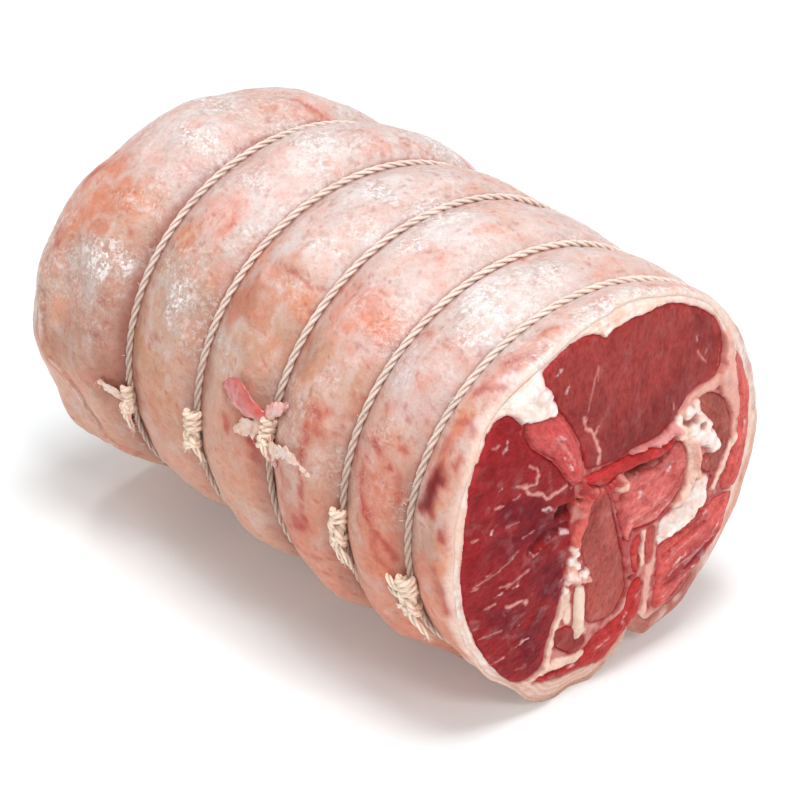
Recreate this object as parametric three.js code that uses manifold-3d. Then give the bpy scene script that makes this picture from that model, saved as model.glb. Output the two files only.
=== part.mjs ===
// Rolled meat joint tied with five loops of twine: a fat cover round the muscles of the cut.
// Millimetres, +Z up. X runs along the roll to the cut face, Y across it, and it rests on Z = 0.
import * as THREE from 'three';
import { mergeVertices } from 'three/addons/utils/BufferGeometryUtils.js';
import Module from 'manifold-3d';

const wasm = await Module();
wasm.setup();

// Twine
const TWINE_DIAMETER = 2.3;
const TWINE_STEPS = 54;
const TWINE_SIDES = 6;
const CLEARANCE = 0.3;
const SEAT_DEPTH = TWINE_DIAMETER / 2 + CLEARANCE;
const REST_HEIGHT = 0.25 + TWINE_DIAMETER / 2;

// Planes across the roll from the back end to the cut face: the twine lies on the middle five.
// Each has its place, its lean across and up, and the size of the roll there.
const RINGS = [
  { x: -141, leanY: 0.07, leanZ: 0.03, halfWidth: 64, top: 117, foot: 4 },
  { x: -86, leanY: 0.004, leanZ: -0.006, halfWidth: 64.6, top: 122, foot: REST_HEIGHT },
  { x: -51, leanY: 0.002, leanZ: 0.001, halfWidth: 65.5, top: 120.6, foot: REST_HEIGHT },
  { x: -16.4, leanY: -0.011, leanZ: 0.004, halfWidth: 66.2, top: 121.2, foot: REST_HEIGHT },
  { x: 15.9, leanY: -0.009, leanZ: 0.005, halfWidth: 65.9, top: 117.8, foot: REST_HEIGHT },
  { x: 43.9, leanY: 0.013, leanZ: -0.007, halfWidth: 65.1, top: 116.8, foot: REST_HEIGHT },
  { x: 59.5, leanY: -0.078, leanZ: 0, halfWidth: 65.1, top: 116.8, foot: REST_HEIGHT },
];
const BACK = 0;
const FIRST_LOOP = 1;
const LAST_LOOP = 5;
const FRONT = 6;
const MIDDLE_HEIGHT = 60;

// How far the meat swells out between one plane and the next, and where it swells most
const SWELLS = [
  { height: 2.4, more: 6, side: 145 },
  { height: 2.7, more: 1.1, side: 60 },
  { height: 2.4, more: 0.9, side: -130 },
  { height: 2.7, more: 2.0, side: -130 },
  { height: 2.7, more: 2.2, side: -130 },
  { height: 1.6, more: 0.6, side: -130 },
];
const LEAST_SWELL = 0.8;
const SWELL_REACH = 16;
const SWELL_STEEPNESS = 2.1;
const TWINE_BED = 1.5;

// Ends: the cut face bows out, and both rims are rounded
const FACE_BOW = 0.0009;
const FACE_BOW_HEIGHT = 62;
const FACE_FALLS = [
  { y: -52, z: 104, reach: 30, depth: 5 },
  { y: -14, z: 0, reach: 32, depth: 3.4 },
];
const BACK_BOW = 0.0012;
const BACK_ROUNDING = 24;
const BACK_INSET = 12;
const FRONT_ROUNDING = 6.5;
const RIM_REACH = 1.4;
const BEYOND_END = 3;

// Blocks that trim the ends and the flats it rests on
const BLOCK_SIZE = 180;
const BLOCK_STEPS = 9;
const BLOCK_THICKNESS = 40;
const FLOOR_SIZE = 400;

// How far the rim of the cut face lies inside the last loop, by degrees round from +Y
const RIM_INSET = [
  [-180, 0.6], [-152, -1.4], [-134, -4.6], [-116, -7], [-98, -3], [-93, 0.6], [-89.5, 6], [-85, 5],
  [-81, 5], [-73, 8.6], [-62, 7.8], [-45, 9.8], [-20, 10.4], [0, 7.6], [20, 6.6],
  [40, 3.6], [60, 0.8], [90, 0.4], [135, 0.8], [180, 0.6],
];

// Where the roll is flatter than an oval: under the near flank, and on the far flank
const FLATS = [
  { angle: -128, halfAngle: 27, depth: 2.6 },
  { angle: 20, halfAngle: 65, depth: 1.4 },
];

// The seam where the rolled flap ends, along the underside, deepest at the cut face
const SEAM_ANGLE = -82;
const SEAM_HALF_ANGLE = 7;
const SEAM_DEPTHS = [[BACK, 2], [LAST_LOOP - 1, 3], [LAST_LOOP, 7], [FRONT, 10]];

// Steps of the mesh
const COARSE_ANGLE = 7.6;
const FINE_ANGLE = 4;
const FINE_FROM = -106;
const FINE_TO = -58;
const SPAN_STEPS = [1.5, 4, 9, 17.3, 25.6, 30.6, 33.1];
const BACK_STEPS = [0, 1.5, 4.5, 9.5, 16, 24, 34];
const BACK_LAST_STEPS = [9, 4, 1.5];
const FRONT_STEPS = [1.5, 4];
const FRONT_LAST_STEPS = [6.5, 3.6, 1.4];

// The muscles taper from the cut face to the back end, towards the middle of the roll
const TAPER = [
  { x: 80, scale: 1 },
  { x: 54, scale: 1 },
  { x: 46, scale: 0.952 },
  { x: -180, scale: 0.73 },
];
const OUTLINE_STEP = 4.2;
const FEWEST_STEPS = 8;
const SIMPLIFIED = 0.1;

// Where each muscle shows at the cut face, as (across, up)
const MUSCLES = [
  {
    name: 'tendon', colour: '#e9d6c8', roughness: 0.42,
    outline: [[-18.8, 36], [-15.4, 36], [-15, 26], [-14.2, 21.5], [-17, 19.3], [-18.4, 23]],
  },
  {
    name: 'eye_muscle', colour: '#9c3036', roughness: 0.38,
    outline: [
      [-32.5, 104.5], [-27, 109], [-17, 112.2], [-11, 111.2], [-8.5, 109.4], [-5.5, 111], [6, 111.5],
      [17, 111], [26, 107.5], [36, 101], [40, 95], [40, 88], [37, 82.8], [27, 81.2], [21.5, 78.8],
      [16, 74.8], [9, 73], [-13, 72.6], [-17, 75.5], [-18.5, 81.5], [-24, 91], [-27, 95], [-28.5, 99.5],
    ],
  },
  {
    name: 'left_muscle', colour: '#8e2530', roughness: 0.34,
    outline: [
      [-43.8, 97.2], [-41.2, 96], [-38.9, 92], [-36.6, 86.2], [-29, 79.4], [-24.4, 72.6],
      [-20.6, 68.2], [-22, 60], [-22.8, 52], [-24.2, 40], [-25.4, 32], [-28.4, 23], [-30.5, 17],
      [-36, 15.6], [-41.6, 18.2], [-50.4, 27.4], [-57, 39], [-60.6, 51], [-60.6, 62], [-58.4, 79.6],
      [-53, 88.6], [-48.4, 94.6],
    ],
  },
  {
    name: 'tongue_muscle', colour: '#b04e50', roughness: 0.3,
    outline: [
      [-37.3, 92.6], [-29.8, 93], [-25, 89], [-20.9, 81.5], [-19, 74.5], [-19.8, 71.8],
      [-23, 73.5], [-28.4, 81.6], [-35.2, 87.4],
    ],
  },
  {
    name: 'centre_muscle', colour: '#9a4a46', roughness: 0.4,
    outline: [
      [-12.5, 63.3], [-7.5, 62.5], [-4, 52.8], [0, 40.5], [2.4, 31], [1, 24], [-4, 21.2],
      [-12, 22.8], [-13.6, 28], [-13, 38.4], [-15.6, 44], [-17, 53],
    ],
  },
  {
    name: 'lower_centre_muscle', colour: '#94403e', roughness: 0.4,
    outline: [[-26, 24.6], [-20.5, 25], [-14, 19.6], [-12.4, 15.8], [-17, 13.9], [-23.6, 18.8]],
  },
  {
    name: 'bottom_strip', colour: '#a83338', roughness: 0.32,
    outline: [
      [-33, 11.4], [-23, 10.8], [-14.7, 10], [-9, 15.8], [-1.5, 19], [2.4, 22.5], [4.6, 28.6],
      [8, 29.2], [9.3, 24.5], [7.5, 18], [2.5, 13.6], [-1.8, 9], [-6, 6.6], [-19.7, 7.6],
    ],
  },
  {
    name: 'curl_strip', colour: '#b0393c', roughness: 0.3,
    outline: [[-17.6, 70.4], [-9, 71], [11, 70.8], [18.4, 69.6], [12, 67.4], [-3, 67.4], [-12, 66.9]],
  },
  {
    name: 'inner_curl', colour: '#ad3a3e', roughness: 0.3,
    outline: [
      [-4.6, 61.4], [3, 63.4], [13, 64], [20.4, 67.6], [23.2, 65.4], [24.3, 60], [22.6, 54.4],
      [19, 49.6], [13, 46.2], [4.4, 46.2], [1.6, 44], [-2.2, 52.8],
    ],
  },
  {
    name: 'inner_strip_1', colour: '#b23a3c', roughness: 0.3,
    outline: [[3, 42], [7.2, 44], [7.3, 38], [7.4, 32.6], [4.8, 32.8]],
  },
  {
    name: 'inner_strip_2', colour: '#b4413f', roughness: 0.3,
    outline: [[9.6, 44], [13.4, 44], [13.1, 39], [12.4, 33.8], [10, 33.4], [9.3, 38]],
  },
  {
    name: 'brown_muscle', colour: '#8d4a40', roughness: 0.36,
    outline: [
      [30, 78.2], [34, 78.4], [40, 75], [44.2, 70], [44.8, 63.5], [42, 57], [38, 52.6],
      [34, 53.7], [31.4, 57.4], [38.4, 61.8], [35.6, 68], [29.2, 75.6],
    ],
  },
  {
    name: 'flank_strip', colour: '#ab3437', roughness: 0.32,
    outline: [
      [47.4, 82.4], [50, 77], [51.8, 69], [50.9, 60], [49.6, 50.4], [46.6, 43.6], [42, 45],
      [44.6, 52], [47.2, 61.6], [48.1, 70], [46.4, 79],
    ],
  },
  {
    name: 'lower_right_muscle', colour: '#a0303a', roughness: 0.32,
    outline: [
      [15.2, 36.8], [24.7, 37.6], [31.5, 41.4], [39.6, 41.6], [44, 39.4], [43, 33], [40.2, 27.2],
      [35, 21.6], [27, 17.8], [18.2, 17.4], [14.2, 18.4], [15.4, 22], [15.6, 29],
    ],
  },
];

// Knots on the near flank, one for each loop: degrees round, length along the loop and thickness
const KNOTS = [
  { angle: 191.4, length: 7, radius: 2.3, tail: 3 },
  { angle: 183.6, length: 13, radius: 3.7, tail: 3 },
  { angle: 171.6, length: 7, radius: 2.9, tail: 2 },
  { angle: 186.2, length: 13, radius: 3.9, tail: 5 },
  { angle: 195.7, length: 16, radius: 3.9, tail: 6 },
];
const KNOT_WRAPS = 3;
const KNOT_WAIST = 0.78;
const KNOT_SIDES = 7;
const KNOT_PROUD = 0.55;
const KNOT_END_FALL = 0.75;
const TAIL_OUTWARD = 0.8;
const TAIL_PLACE = 0.3;

// Scraps of meat and membrane caught under the knots: loop, place along and round, size and lie
const SCRAPS = [
  { loop: 3, shift: -8.5, turn: -2.6, length: 12, width: 6, turned: 38, thickness: 2.2 },
  { loop: 3, shift: 5.5, turn: 3.2, length: 13, width: 5, turned: -30, thickness: 1.8 },
  { loop: 1, shift: -3.4, turn: 1.6, length: 8, width: 4.5, turned: 20, thickness: 1.8 },
];
const SCRAP_LIFT = 1.2;
const SCRAP_SIDES = [10, 6];

const COVER = { name: 'fat_cover', colour: '#d9b5a4', roughness: 0.4 };
const TWINE = { colour: '#dccbbb', roughness: 0.85 };

const radians = (degrees) => degrees * Math.PI / 180;

// The value at a place in a list of [place, value], eased between neighbours
function eased(list, place) {
  const next = list.findIndex(([at]) => at >= place);
  if (next <= 0) {
    return list[next === 0 ? 0 : list.length - 1][1];
  }
  const [fromPlace, fromValue] = list[next - 1];
  const [toPlace, toValue] = list[next];
  const share = (place - fromPlace) / (toPlace - fromPlace);
  return fromValue + (toValue - fromValue) * share * share * (3 - 2 * share);
}

// How near an angle is to the middle of a stretch round the roll, from 0 to 1
function nearness(angle, middle, halfAngle) {
  const apart = Math.abs(THREE.MathUtils.euclideanModulo(angle - middle + 180, 360) - 180);
  const share = Math.max(0, 1 - apart / halfAngle);
  return share * share * (3 - 2 * share);
}

function flatness(angle) {
  let total = 0;
  for (const flat of FLATS) {
    total += flat.depth * nearness(angle, flat.angle, flat.halfAngle);
  }
  return total;
}

// The bare oval of the roll between two planes, at an angle, pushed out or in by an offset
function ovalPoint(ring, share, angle, offset) {
  const from = RINGS[ring];
  const to = RINGS[Math.min(ring + 1, FRONT)];
  const between = (key) => from[key] + (to[key] - from[key]) * share;
  const middle = (between('top') + between('foot')) / 2;
  const halfHeight = (between('top') - between('foot')) / 2;
  const out = offset - flatness(angle);
  const y = (between('halfWidth') + out) * Math.cos(radians(angle));
  const z = middle + (halfHeight + out) * Math.sin(radians(angle));
  return [y, z];
}

// Where a plane across the roll lies, at a place across and up
function planeX(ring, y, z) {
  const { x, leanY, leanZ } = RINGS[ring];
  const plain = x + leanY * y + leanZ * (z - MIDDLE_HEIGHT);
  if (ring === FRONT) {
    let bowed = plain - FACE_BOW * (y * y + (z - FACE_BOW_HEIGHT) ** 2);
    for (const fall of FACE_FALLS) {
      const near = Math.max(0, 1 - Math.hypot(y - fall.y, z - fall.z) / fall.reach);
      bowed -= fall.depth * near * near;
    }
    return bowed;
  }
  if (ring === BACK) {
    return plain + BACK_BOW * (y * y + (z - MIDDLE_HEIGHT) ** 2);
  }
  return plain;
}

// How far the surface has risen out of the twine's bed, at a distance from the twine
function rise(distance) {
  const share = Math.min(1, Math.max(0, (distance - TWINE_BED) / SWELL_REACH));
  return 1 - (1 - share) ** SWELL_STEEPNESS;
}

// The inward fall of a rounded rim, from 0 to 1, at a distance from the end
function rounding(distance, radius) {
  const share = Math.min(1, Math.max(0, 1 - distance / radius));
  return 1 - Math.sqrt(1 - share * share);
}

function seam(place, angle) {
  return eased(SEAM_DEPTHS, place) * nearness(angle, SEAM_ANGLE, SEAM_HALF_ANGLE);
}

// A point of the outer surface, given distances from the planes behind it and before it
function surfacePoint(ring, share, angle) {
  const [planY, planZ] = ovalPoint(ring, share, angle, 0);
  const behind = planeX(ring, planY, planZ);
  const ahead = planeX(ring + 1, planY, planZ);
  const x = behind + (ahead - behind) * share;
  const fromBehind = ring === BACK ? SWELL_REACH + TWINE_BED : x - behind;
  const fromAhead = ring === LAST_LOOP ? SWELL_REACH + TWINE_BED : ahead - x;
  const { height, more, side } = SWELLS[ring];
  const swell = Math.max(LEAST_SWELL, height + more * Math.cos(radians(angle - side)));
  let offset = (swell + SEAT_DEPTH) * Math.min(rise(fromBehind), rise(fromAhead)) - SEAT_DEPTH;
  offset -= seam(ring + share, angle);
  if (ring === BACK) {
    offset -= (BACK_INSET + swell) * rounding(x - behind, BACK_ROUNDING);
  }
  if (ring === LAST_LOOP) {
    const inset = eased(RIM_INSET, angle);
    const length = Math.max(ahead - behind, 1);
    const reach = THREE.MathUtils.clamp(Math.abs(inset) * RIM_REACH, FRONT_ROUNDING, length);
    offset -= (inset + swell) * rounding(ahead - x, reach);
  }
  const [y, z] = ovalPoint(ring, share, angle, offset);
  if (ring === BACK) {
    return [x + (planeX(ring, y, z) - behind) * (1 - share), y, z];
  }
  return [x, y, z];
}

function solidOf(geometry) {
  geometry.deleteAttribute('normal');
  geometry.deleteAttribute('uv');
  const merged = mergeVertices(geometry, 1e-4);
  return new wasm.Manifold(new wasm.Mesh({
    numProp: 3,
    vertProperties: new Float32Array(merged.attributes.position.array),
    triVerts: new Uint32Array(merged.index.array),
  }));
}

function geometryOf(solid) {
  const { vertProperties, triVerts } = solid.getMesh();
  const geometry = new THREE.BufferGeometry();
  geometry.setAttribute('position', new THREE.BufferAttribute(new Float32Array(vertProperties), 3));
  geometry.setIndex(new THREE.BufferAttribute(new Uint32Array(triVerts), 1));
  return geometry;
}

// A closed body through rings of points that all have the same count, with a fan at each end
function loft(rings) {
  const count = rings[0].length;
  const points = rings.flat();
  const faces = [];
  for (let ring = 0; ring + 1 < rings.length; ring += 1) {
    for (let side = 0; side < count; side += 1) {
      const next = (side + 1) % count;
      const [a, b] = [ring * count + side, ring * count + next];
      const [c, d] = [a + count, b + count];
      faces.push(a, b, d, a, d, c);
    }
  }
  for (const [ring, flipped] of [[0, true], [rings.length - 1, false]]) {
    const outline = rings[ring].map(([, y, z]) => new THREE.Vector2(y, z));
    for (const [a, b, c] of THREE.ShapeUtils.triangulateShape(outline, [])) {
      const corners = [a, b, c].map((corner) => ring * count + corner);
      const forward = THREE.ShapeUtils.area([outline[a], outline[b], outline[c]]) > 0;
      faces.push(...(forward === flipped ? corners.reverse() : corners));
    }
  }
  const geometry = new THREE.BufferGeometry();
  geometry.setAttribute('position', new THREE.Float32BufferAttribute(points.flat(), 3));
  geometry.setIndex(faces);
  return solidOf(geometry);
}

function roundAngles() {
  const fine = Math.round((FINE_TO - FINE_FROM) / FINE_ANGLE);
  const coarse = Math.round((360 - FINE_TO + FINE_FROM) / COARSE_ANGLE);
  const angles = [];
  for (let step = 0; step < fine; step += 1) {
    angles.push(FINE_FROM + (FINE_TO - FINE_FROM) * step / fine);
  }
  for (let step = 0; step < coarse; step += 1) {
    const angle = FINE_TO + (360 - FINE_TO + FINE_FROM) * step / coarse;
    angles.push(angle > 180 ? angle - 360 : angle);
  }
  return angles;
}

// Each stretch between two planes as shares of its length
function stretchShares(ring) {
  const length = RINGS[ring + 1].x - RINGS[ring].x;
  const last = (steps) => steps.map((step) => length - step);
  if (ring === BACK) {
    return [...BACK_STEPS, ...last(BACK_LAST_STEPS)].map((step) => step / length);
  }
  if (ring === LAST_LOOP) {
    return [0, ...FRONT_STEPS, ...last(FRONT_LAST_STEPS), length].map((step) => step / length);
  }
  const whole = SPAN_STEPS[0] + SPAN_STEPS[SPAN_STEPS.length - 1];
  return SPAN_STEPS.map((step) => step / whole);
}

// The roll's outer body, run past both ends
function rollBody() {
  const angles = roundAngles();
  const rings = [];
  for (let ring = BACK; ring < FRONT; ring += 1) {
    for (const share of stretchShares(ring)) {
      rings.push(angles.map((angle) => surfacePoint(ring, share, angle)));
    }
  }
  const pushed = (ring, by) => ring.map(([x, y, z]) => [x + by, y, z]);
  rings.unshift(pushed(rings[0], -BEYOND_END));
  rings.push(pushed(rings[rings.length - 1], BEYOND_END));
  return loft(rings);
}

// A block with one bowed side that trims an end of the roll
function endBlock(ring, farX) {
  const geometry = new THREE.BoxGeometry(1, BLOCK_SIZE, BLOCK_SIZE, 1, BLOCK_STEPS, BLOCK_STEPS);
  const corners = geometry.attributes.position;
  for (let corner = 0; corner < corners.count; corner += 1) {
    const y = corners.getY(corner);
    const z = corners.getZ(corner) + MIDDLE_HEIGHT;
    const inner = corners.getX(corner) > 0 === (ring === BACK);
    corners.setXYZ(corner, inner ? planeX(ring, y, z) : farX, y, z);
  }
  return solidOf(geometry);
}

function floorBlock() {
  const geometry = new THREE.BoxGeometry(FLOOR_SIZE, FLOOR_SIZE, BLOCK_THICKNESS);
  geometry.translate(0, 0, -BLOCK_THICKNESS / 2);
  return solidOf(geometry);
}

// An outline rounded off and pushed out by a distance, as (across, up) points
function smoothOutline(outline, distance) {
  const curve = new THREE.CatmullRomCurve3(
    outline.map(([y, z]) => new THREE.Vector3(y, z, 0)), true, 'centripetal');
  const count = Math.max(FEWEST_STEPS, Math.round(curve.getLength() / OUTLINE_STEP));
  const points = curve.getSpacedPoints(count).slice(0, count);
  const turnsLeft = THREE.ShapeUtils.area(points) > 0 ? 1 : -1;
  return points.map((point, index) => {
    const before = points[(index + count - 1) % count];
    const after = points[(index + 1) % count];
    const along = after.clone().sub(before).normalize();
    const out = turnsLeft * distance;
    return [point.x + along.y * out, point.y - along.x * out];
  });
}

// A muscle through the whole roll, still longer than it
function muscleBody(outline, distance) {
  const around = smoothOutline(outline, distance);
  if (THREE.ShapeUtils.area(around.map(([y, z]) => new THREE.Vector2(y, z))) < 0) {
    around.reverse();
  }
  const rings = TAPER.map(({ x, scale }) => around.map(([y, z]) => (
    [x, y * scale, MIDDLE_HEIGHT + (z - MIDDLE_HEIGHT) * scale])));
  return loft(rings.reverse());
}

function loopPoint(loop, angle, offset = 0) {
  const [y, z] = ovalPoint(loop, 0, angle, offset);
  return new THREE.Vector3(planeX(loop, y, z), y, z);
}

// The place, outward direction and direction along the loop at an angle
function loopFrame(loop, angle) {
  const at = loopPoint(loop, angle);
  const along = loopPoint(loop, angle + 1).sub(loopPoint(loop, angle - 1)).normalize();
  const out = loopPoint(loop, angle, 1).sub(at).normalize();
  return { at, along, out };
}

function knotBody(loop, knot, grown) {
  const { at, along, out } = loopFrame(loop, knot.angle);
  const half = knot.length / 2 + grown;
  const profile = [new THREE.Vector2(0, -half)];
  const bumps = KNOT_WRAPS * 2;
  for (let bump = 0; bump <= bumps; bump += 1) {
    const place = (bump + 0.5) / (bumps + 1) * 2 - 1;
    const waist = bump % 2 ? KNOT_WAIST : 1;
    const endFall = Math.sqrt(1 - KNOT_END_FALL * place * place);
    profile.push(new THREE.Vector2(knot.radius * waist * endFall + grown, place * half));
  }
  profile.push(new THREE.Vector2(0, half));
  const barrel = new THREE.LatheGeometry(profile, KNOT_SIDES);
  const across = new THREE.Vector3().crossVectors(along, out);
  const lifted = at.clone().addScaledVector(out, knot.radius * KNOT_PROUD);
  barrel.applyMatrix4(new THREE.Matrix4().makeBasis(across, along, out).setPosition(lifted));
  return solidOf(barrel);
}

// The blunt tail that leaves the knot and lies outward along the loop
function tailBody(loop, knot) {
  const { at, along, out } = loopFrame(loop, knot.angle);
  const radius = TWINE_DIAMETER / 2;
  const tail = new THREE.ConeGeometry(radius, knot.tail + radius, KNOT_SIDES);
  tail.translate(0, (knot.tail + radius) / 2, 0);
  const aim = along.clone().addScaledVector(out, TAIL_OUTWARD).normalize();
  const across = new THREE.Vector3().crossVectors(aim, out).normalize();
  const upright = new THREE.Vector3().crossVectors(across, aim);
  const start = at.clone().addScaledVector(out, knot.radius)
    .addScaledVector(along, knot.length * TAIL_PLACE);
  tail.applyMatrix4(new THREE.Matrix4().makeBasis(across, aim, upright).setPosition(start));
  return solidOf(tail);
}

function twineBody(loop, knot) {
  const points = [];
  for (let step = 0; step < TWINE_STEPS; step += 1) {
    points.push(loopPoint(loop, step / TWINE_STEPS * 360));
  }
  const path = new THREE.CatmullRomCurve3(points, true);
  const radius = TWINE_DIAMETER / 2;
  const tube = solidOf(new THREE.TubeGeometry(path, TWINE_STEPS, radius, TWINE_SIDES, true));
  return tube.add(knotBody(loop, knot, 0)).add(tailBody(loop, knot));
}

// A ragged scrap that is part of the cover: a flat lens, half sunk in the surface
function scrapBody(scrap) {
  const knot = KNOTS[scrap.loop - 1];
  const { at, along, out } = loopFrame(scrap.loop, knot.angle + scrap.turn);
  const across = new THREE.Vector3().crossVectors(along, out);
  const lens = new THREE.SphereGeometry(1, ...SCRAP_SIDES);
  lens.scale(scrap.length / 2, scrap.thickness, scrap.width / 2);
  lens.rotateY(radians(scrap.turned));
  const place = at.clone().addScaledVector(out, SCRAP_LIFT);
  place.x += scrap.shift;
  lens.applyMatrix4(new THREE.Matrix4().makeBasis(across, out, along.clone().negate())
    .setPosition(place));
  return solidOf(lens);
}

// Booleans leave specks and near-flat corners: the largest piece is kept, tidied
function tidied(solid) {
  const pieces = solid.decompose().sort((a, b) => b.volume() - a.volume());
  return pieces[0].asOriginal().simplify(SIMPLIFIED);
}

function meshOf(solid, { name, colour, roughness }) {
  const material = new THREE.MeshStandardMaterial({ color: colour, roughness, metalness: 0 });
  const mesh = new THREE.Mesh(geometryOf(solid), material);
  mesh.name = name;
  return mesh;
}

const joint = new THREE.Group();
const ends = endBlock(BACK, RINGS[BACK].x - BLOCK_THICKNESS)
  .add(endBlock(FRONT, RINGS[FRONT].x + BLOCK_THICKNESS));
const knotSolids = KNOTS.map((knot, index) => twineBody(FIRST_LOOP + index, knot));
const knotPockets = KNOTS.map((knot, index) => knotBody(FIRST_LOOP + index, knot, CLEARANCE));

// Each muscle in turn, kept off the ones before it
const taken = [];
for (const muscle of MUSCLES) {
  let solid = muscleBody(muscle.outline, 0).subtract(ends);
  for (const other of taken) {
    solid = solid.subtract(other.roomy);
  }
  joint.add(meshOf(tidied(solid), muscle));
  taken.push({
    roomy: muscleBody(muscle.outline, 2 * CLEARANCE),
    pocket: muscleBody(muscle.outline, CLEARANCE),
  });
}

let cover = rollBody();
for (const scrap of SCRAPS) {
  cover = cover.add(scrapBody(scrap));
}
cover = cover.subtract(ends).subtract(floorBlock());
for (const { pocket } of taken) {
  cover = cover.subtract(pocket);
}
for (const pocket of knotPockets) {
  cover = cover.subtract(pocket);
}
joint.add(meshOf(tidied(cover), COVER));

knotSolids.forEach((solid, index) => {
  joint.add(meshOf(tidied(solid), { name: `twine_${index + 1}`, ...TWINE }));
});

// The origin is under the middle of the roll
const box = new THREE.Box3().setFromObject(joint);
joint.position.set(-(box.min.x + box.max.x) / 2, -(box.min.y + box.max.y) / 2, -box.min.z);

export default joint;
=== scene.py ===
"""Looks of a raw meat joint, rolled in its fat cover and tied with five loops of twine.

Lengths are millimetres: X runs along the roll to the cut face, Y across it and Z up, with the
floor at Z = 0. Each mesh is moved to the frame and turned into metres when it is made. Only the
floor and the lights are given in metres.
Places on the skin are given as (along, degrees round), and on the cut face as (across, up).
"""
import math

import bpy
import numpy as np
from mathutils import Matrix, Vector
from mathutils.geometry import delaunay_2d_cdt


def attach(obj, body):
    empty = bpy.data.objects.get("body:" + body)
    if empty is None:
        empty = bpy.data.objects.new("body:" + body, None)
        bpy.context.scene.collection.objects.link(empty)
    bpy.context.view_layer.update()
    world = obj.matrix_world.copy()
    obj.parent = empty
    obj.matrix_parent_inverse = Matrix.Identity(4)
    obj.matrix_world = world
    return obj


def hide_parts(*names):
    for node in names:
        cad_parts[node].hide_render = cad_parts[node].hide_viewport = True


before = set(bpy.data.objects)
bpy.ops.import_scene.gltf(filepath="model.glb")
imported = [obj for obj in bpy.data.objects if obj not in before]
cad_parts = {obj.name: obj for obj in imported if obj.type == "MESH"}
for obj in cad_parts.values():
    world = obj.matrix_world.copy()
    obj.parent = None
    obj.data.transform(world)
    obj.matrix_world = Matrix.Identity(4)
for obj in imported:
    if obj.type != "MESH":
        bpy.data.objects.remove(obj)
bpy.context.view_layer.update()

MM = 0.001
LEAST_HEIGHT = 0.02
ORIGIN = np.array([40.554, 2.534, 0.0])

# Planes across the roll, as the solids have them: place, lean across and up, half width, top, foot
RINGS = np.array([
    [-141, 0.07, 0.03, 64, 117, 4],
    [-86, 0.004, -0.006, 64.6, 122, 1.4],
    [-51, 0.002, 0.001, 65.5, 120.6, 1.4],
    [-16.4, -0.011, 0.004, 66.2, 121.2, 1.4],
    [15.9, -0.009, 0.005, 65.9, 117.8, 1.4],
    [43.9, 0.013, -0.007, 65.1, 116.8, 1.4],
    [59.5, -0.078, 0, 65.1, 116.8, 1.4],
])
BACK, LAST_LOOP, FRONT = 0, 5, 6
MIDDLE_HEIGHT = 60
MIDDLE_LINE = np.array([0, MIDDLE_HEIGHT])

# How far the meat swells between two planes: everywhere, how much more on one side, and that side
SWELLS = np.array([
    [2.4, 6, 145], [2.7, 1.1, 60], [2.4, 0.9, -130], [2.7, 2.0, -130], [2.7, 2.2, -130], [1.6, 0.6, -130],
])
LEAST_SWELL = 0.8
SWELL_REACH = 16
SWELL_STEEPNESS = 2.1
BED_DEPTH = 1.3
BED_HALF_WIDTH = 0.75
FACE_BOW, FACE_BOW_HEIGHT = 0.0009, 62
FACE_FALLS = [(-52, 104, 30, 5), (-14, 0, 32, 3.4)]
BACK_BOW, BACK_ROUNDING, BACK_INSET = 0.0012, 24, 12
FRONT_ROUNDING, RIM_REACH = 6.5, 1.4
RIM_INSET = np.array([
    [-180, 0.6], [-152, -1.2], [-134, -3.4], [-116, -5.4], [-98, -3.4], [-93, 0.6], [-89.5, 6], [-85, 5],
    [-81, 5], [-73, 8.6], [-62, 7.8], [-45, 9.8], [-20, 10.4], [0, 7.6], [20, 6.6],
    [40, 3.6], [60, 0.8], [90, 0.4], [135, 0.8], [180, 0.6],
])
FLATS = [(-128, 27, 2.6), (20, 65, 1.4)]
SEAM_ANGLE, SEAM_HALF_ANGLE = -82, 7
SEAM_DEPTHS = np.array([[0, 2], [4, 3], [5, 7], [6, 10]])

# The muscles taper towards the back end
TAPER = np.array([[-180, 0.73], [46, 0.952], [54, 1], [80, 1]])

TWINE_DIAMETER = 2.3
TWINE_PITCH = 12
TWINE_SINK = 0.85


def shade(red, green, blue):
    """A display colour from 0 to 255 as the linear colour that the shader takes"""
    value = np.array([red, green, blue]) / 255
    return np.where(value <= 0.04045, value / 12.92, ((value + 0.055) / 1.055) ** 2.4)


def smooth(value, low, high):
    """A share from 0 to 1 that rises smoothly between two levels"""
    share = np.clip((value - low) / (high - low), 0, 1)
    return share * share * (3 - 2 * share)


# Odd numbers that mix the bits of a cell's place and of the seed
CELL_FACTORS = (73856093, 19349663, 83492791)
SEED_FACTOR, SEED_START = 7919, 104729
MIXING = ((15, 2246822519), (13, 3266489917), (16, 668265263))
LAST_SHIFT = 15


def lattice(cells, seed):
    """A random number from -1 to 1 for each whole-number cell"""
    x, y, z = (cells[:, axis].astype(np.uint32) * np.uint32(CELL_FACTORS[axis]) for axis in range(3))
    bits = x ^ y ^ z ^ np.uint32(seed * SEED_FACTOR + SEED_START)
    for shift, factor in MIXING:
        bits ^= bits >> np.uint32(shift)
        bits *= np.uint32(factor)
    bits ^= bits >> np.uint32(LAST_SHIFT)
    return bits / 2 ** 31 - 1


# Each noise below has a seed of its own, which moves it by these steps
SEED_STEP, OCTAVE_STEP = 17.3, 5.7
NOISE_SPAN = 1.5
NOISE_PLANE = 0.37


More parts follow.
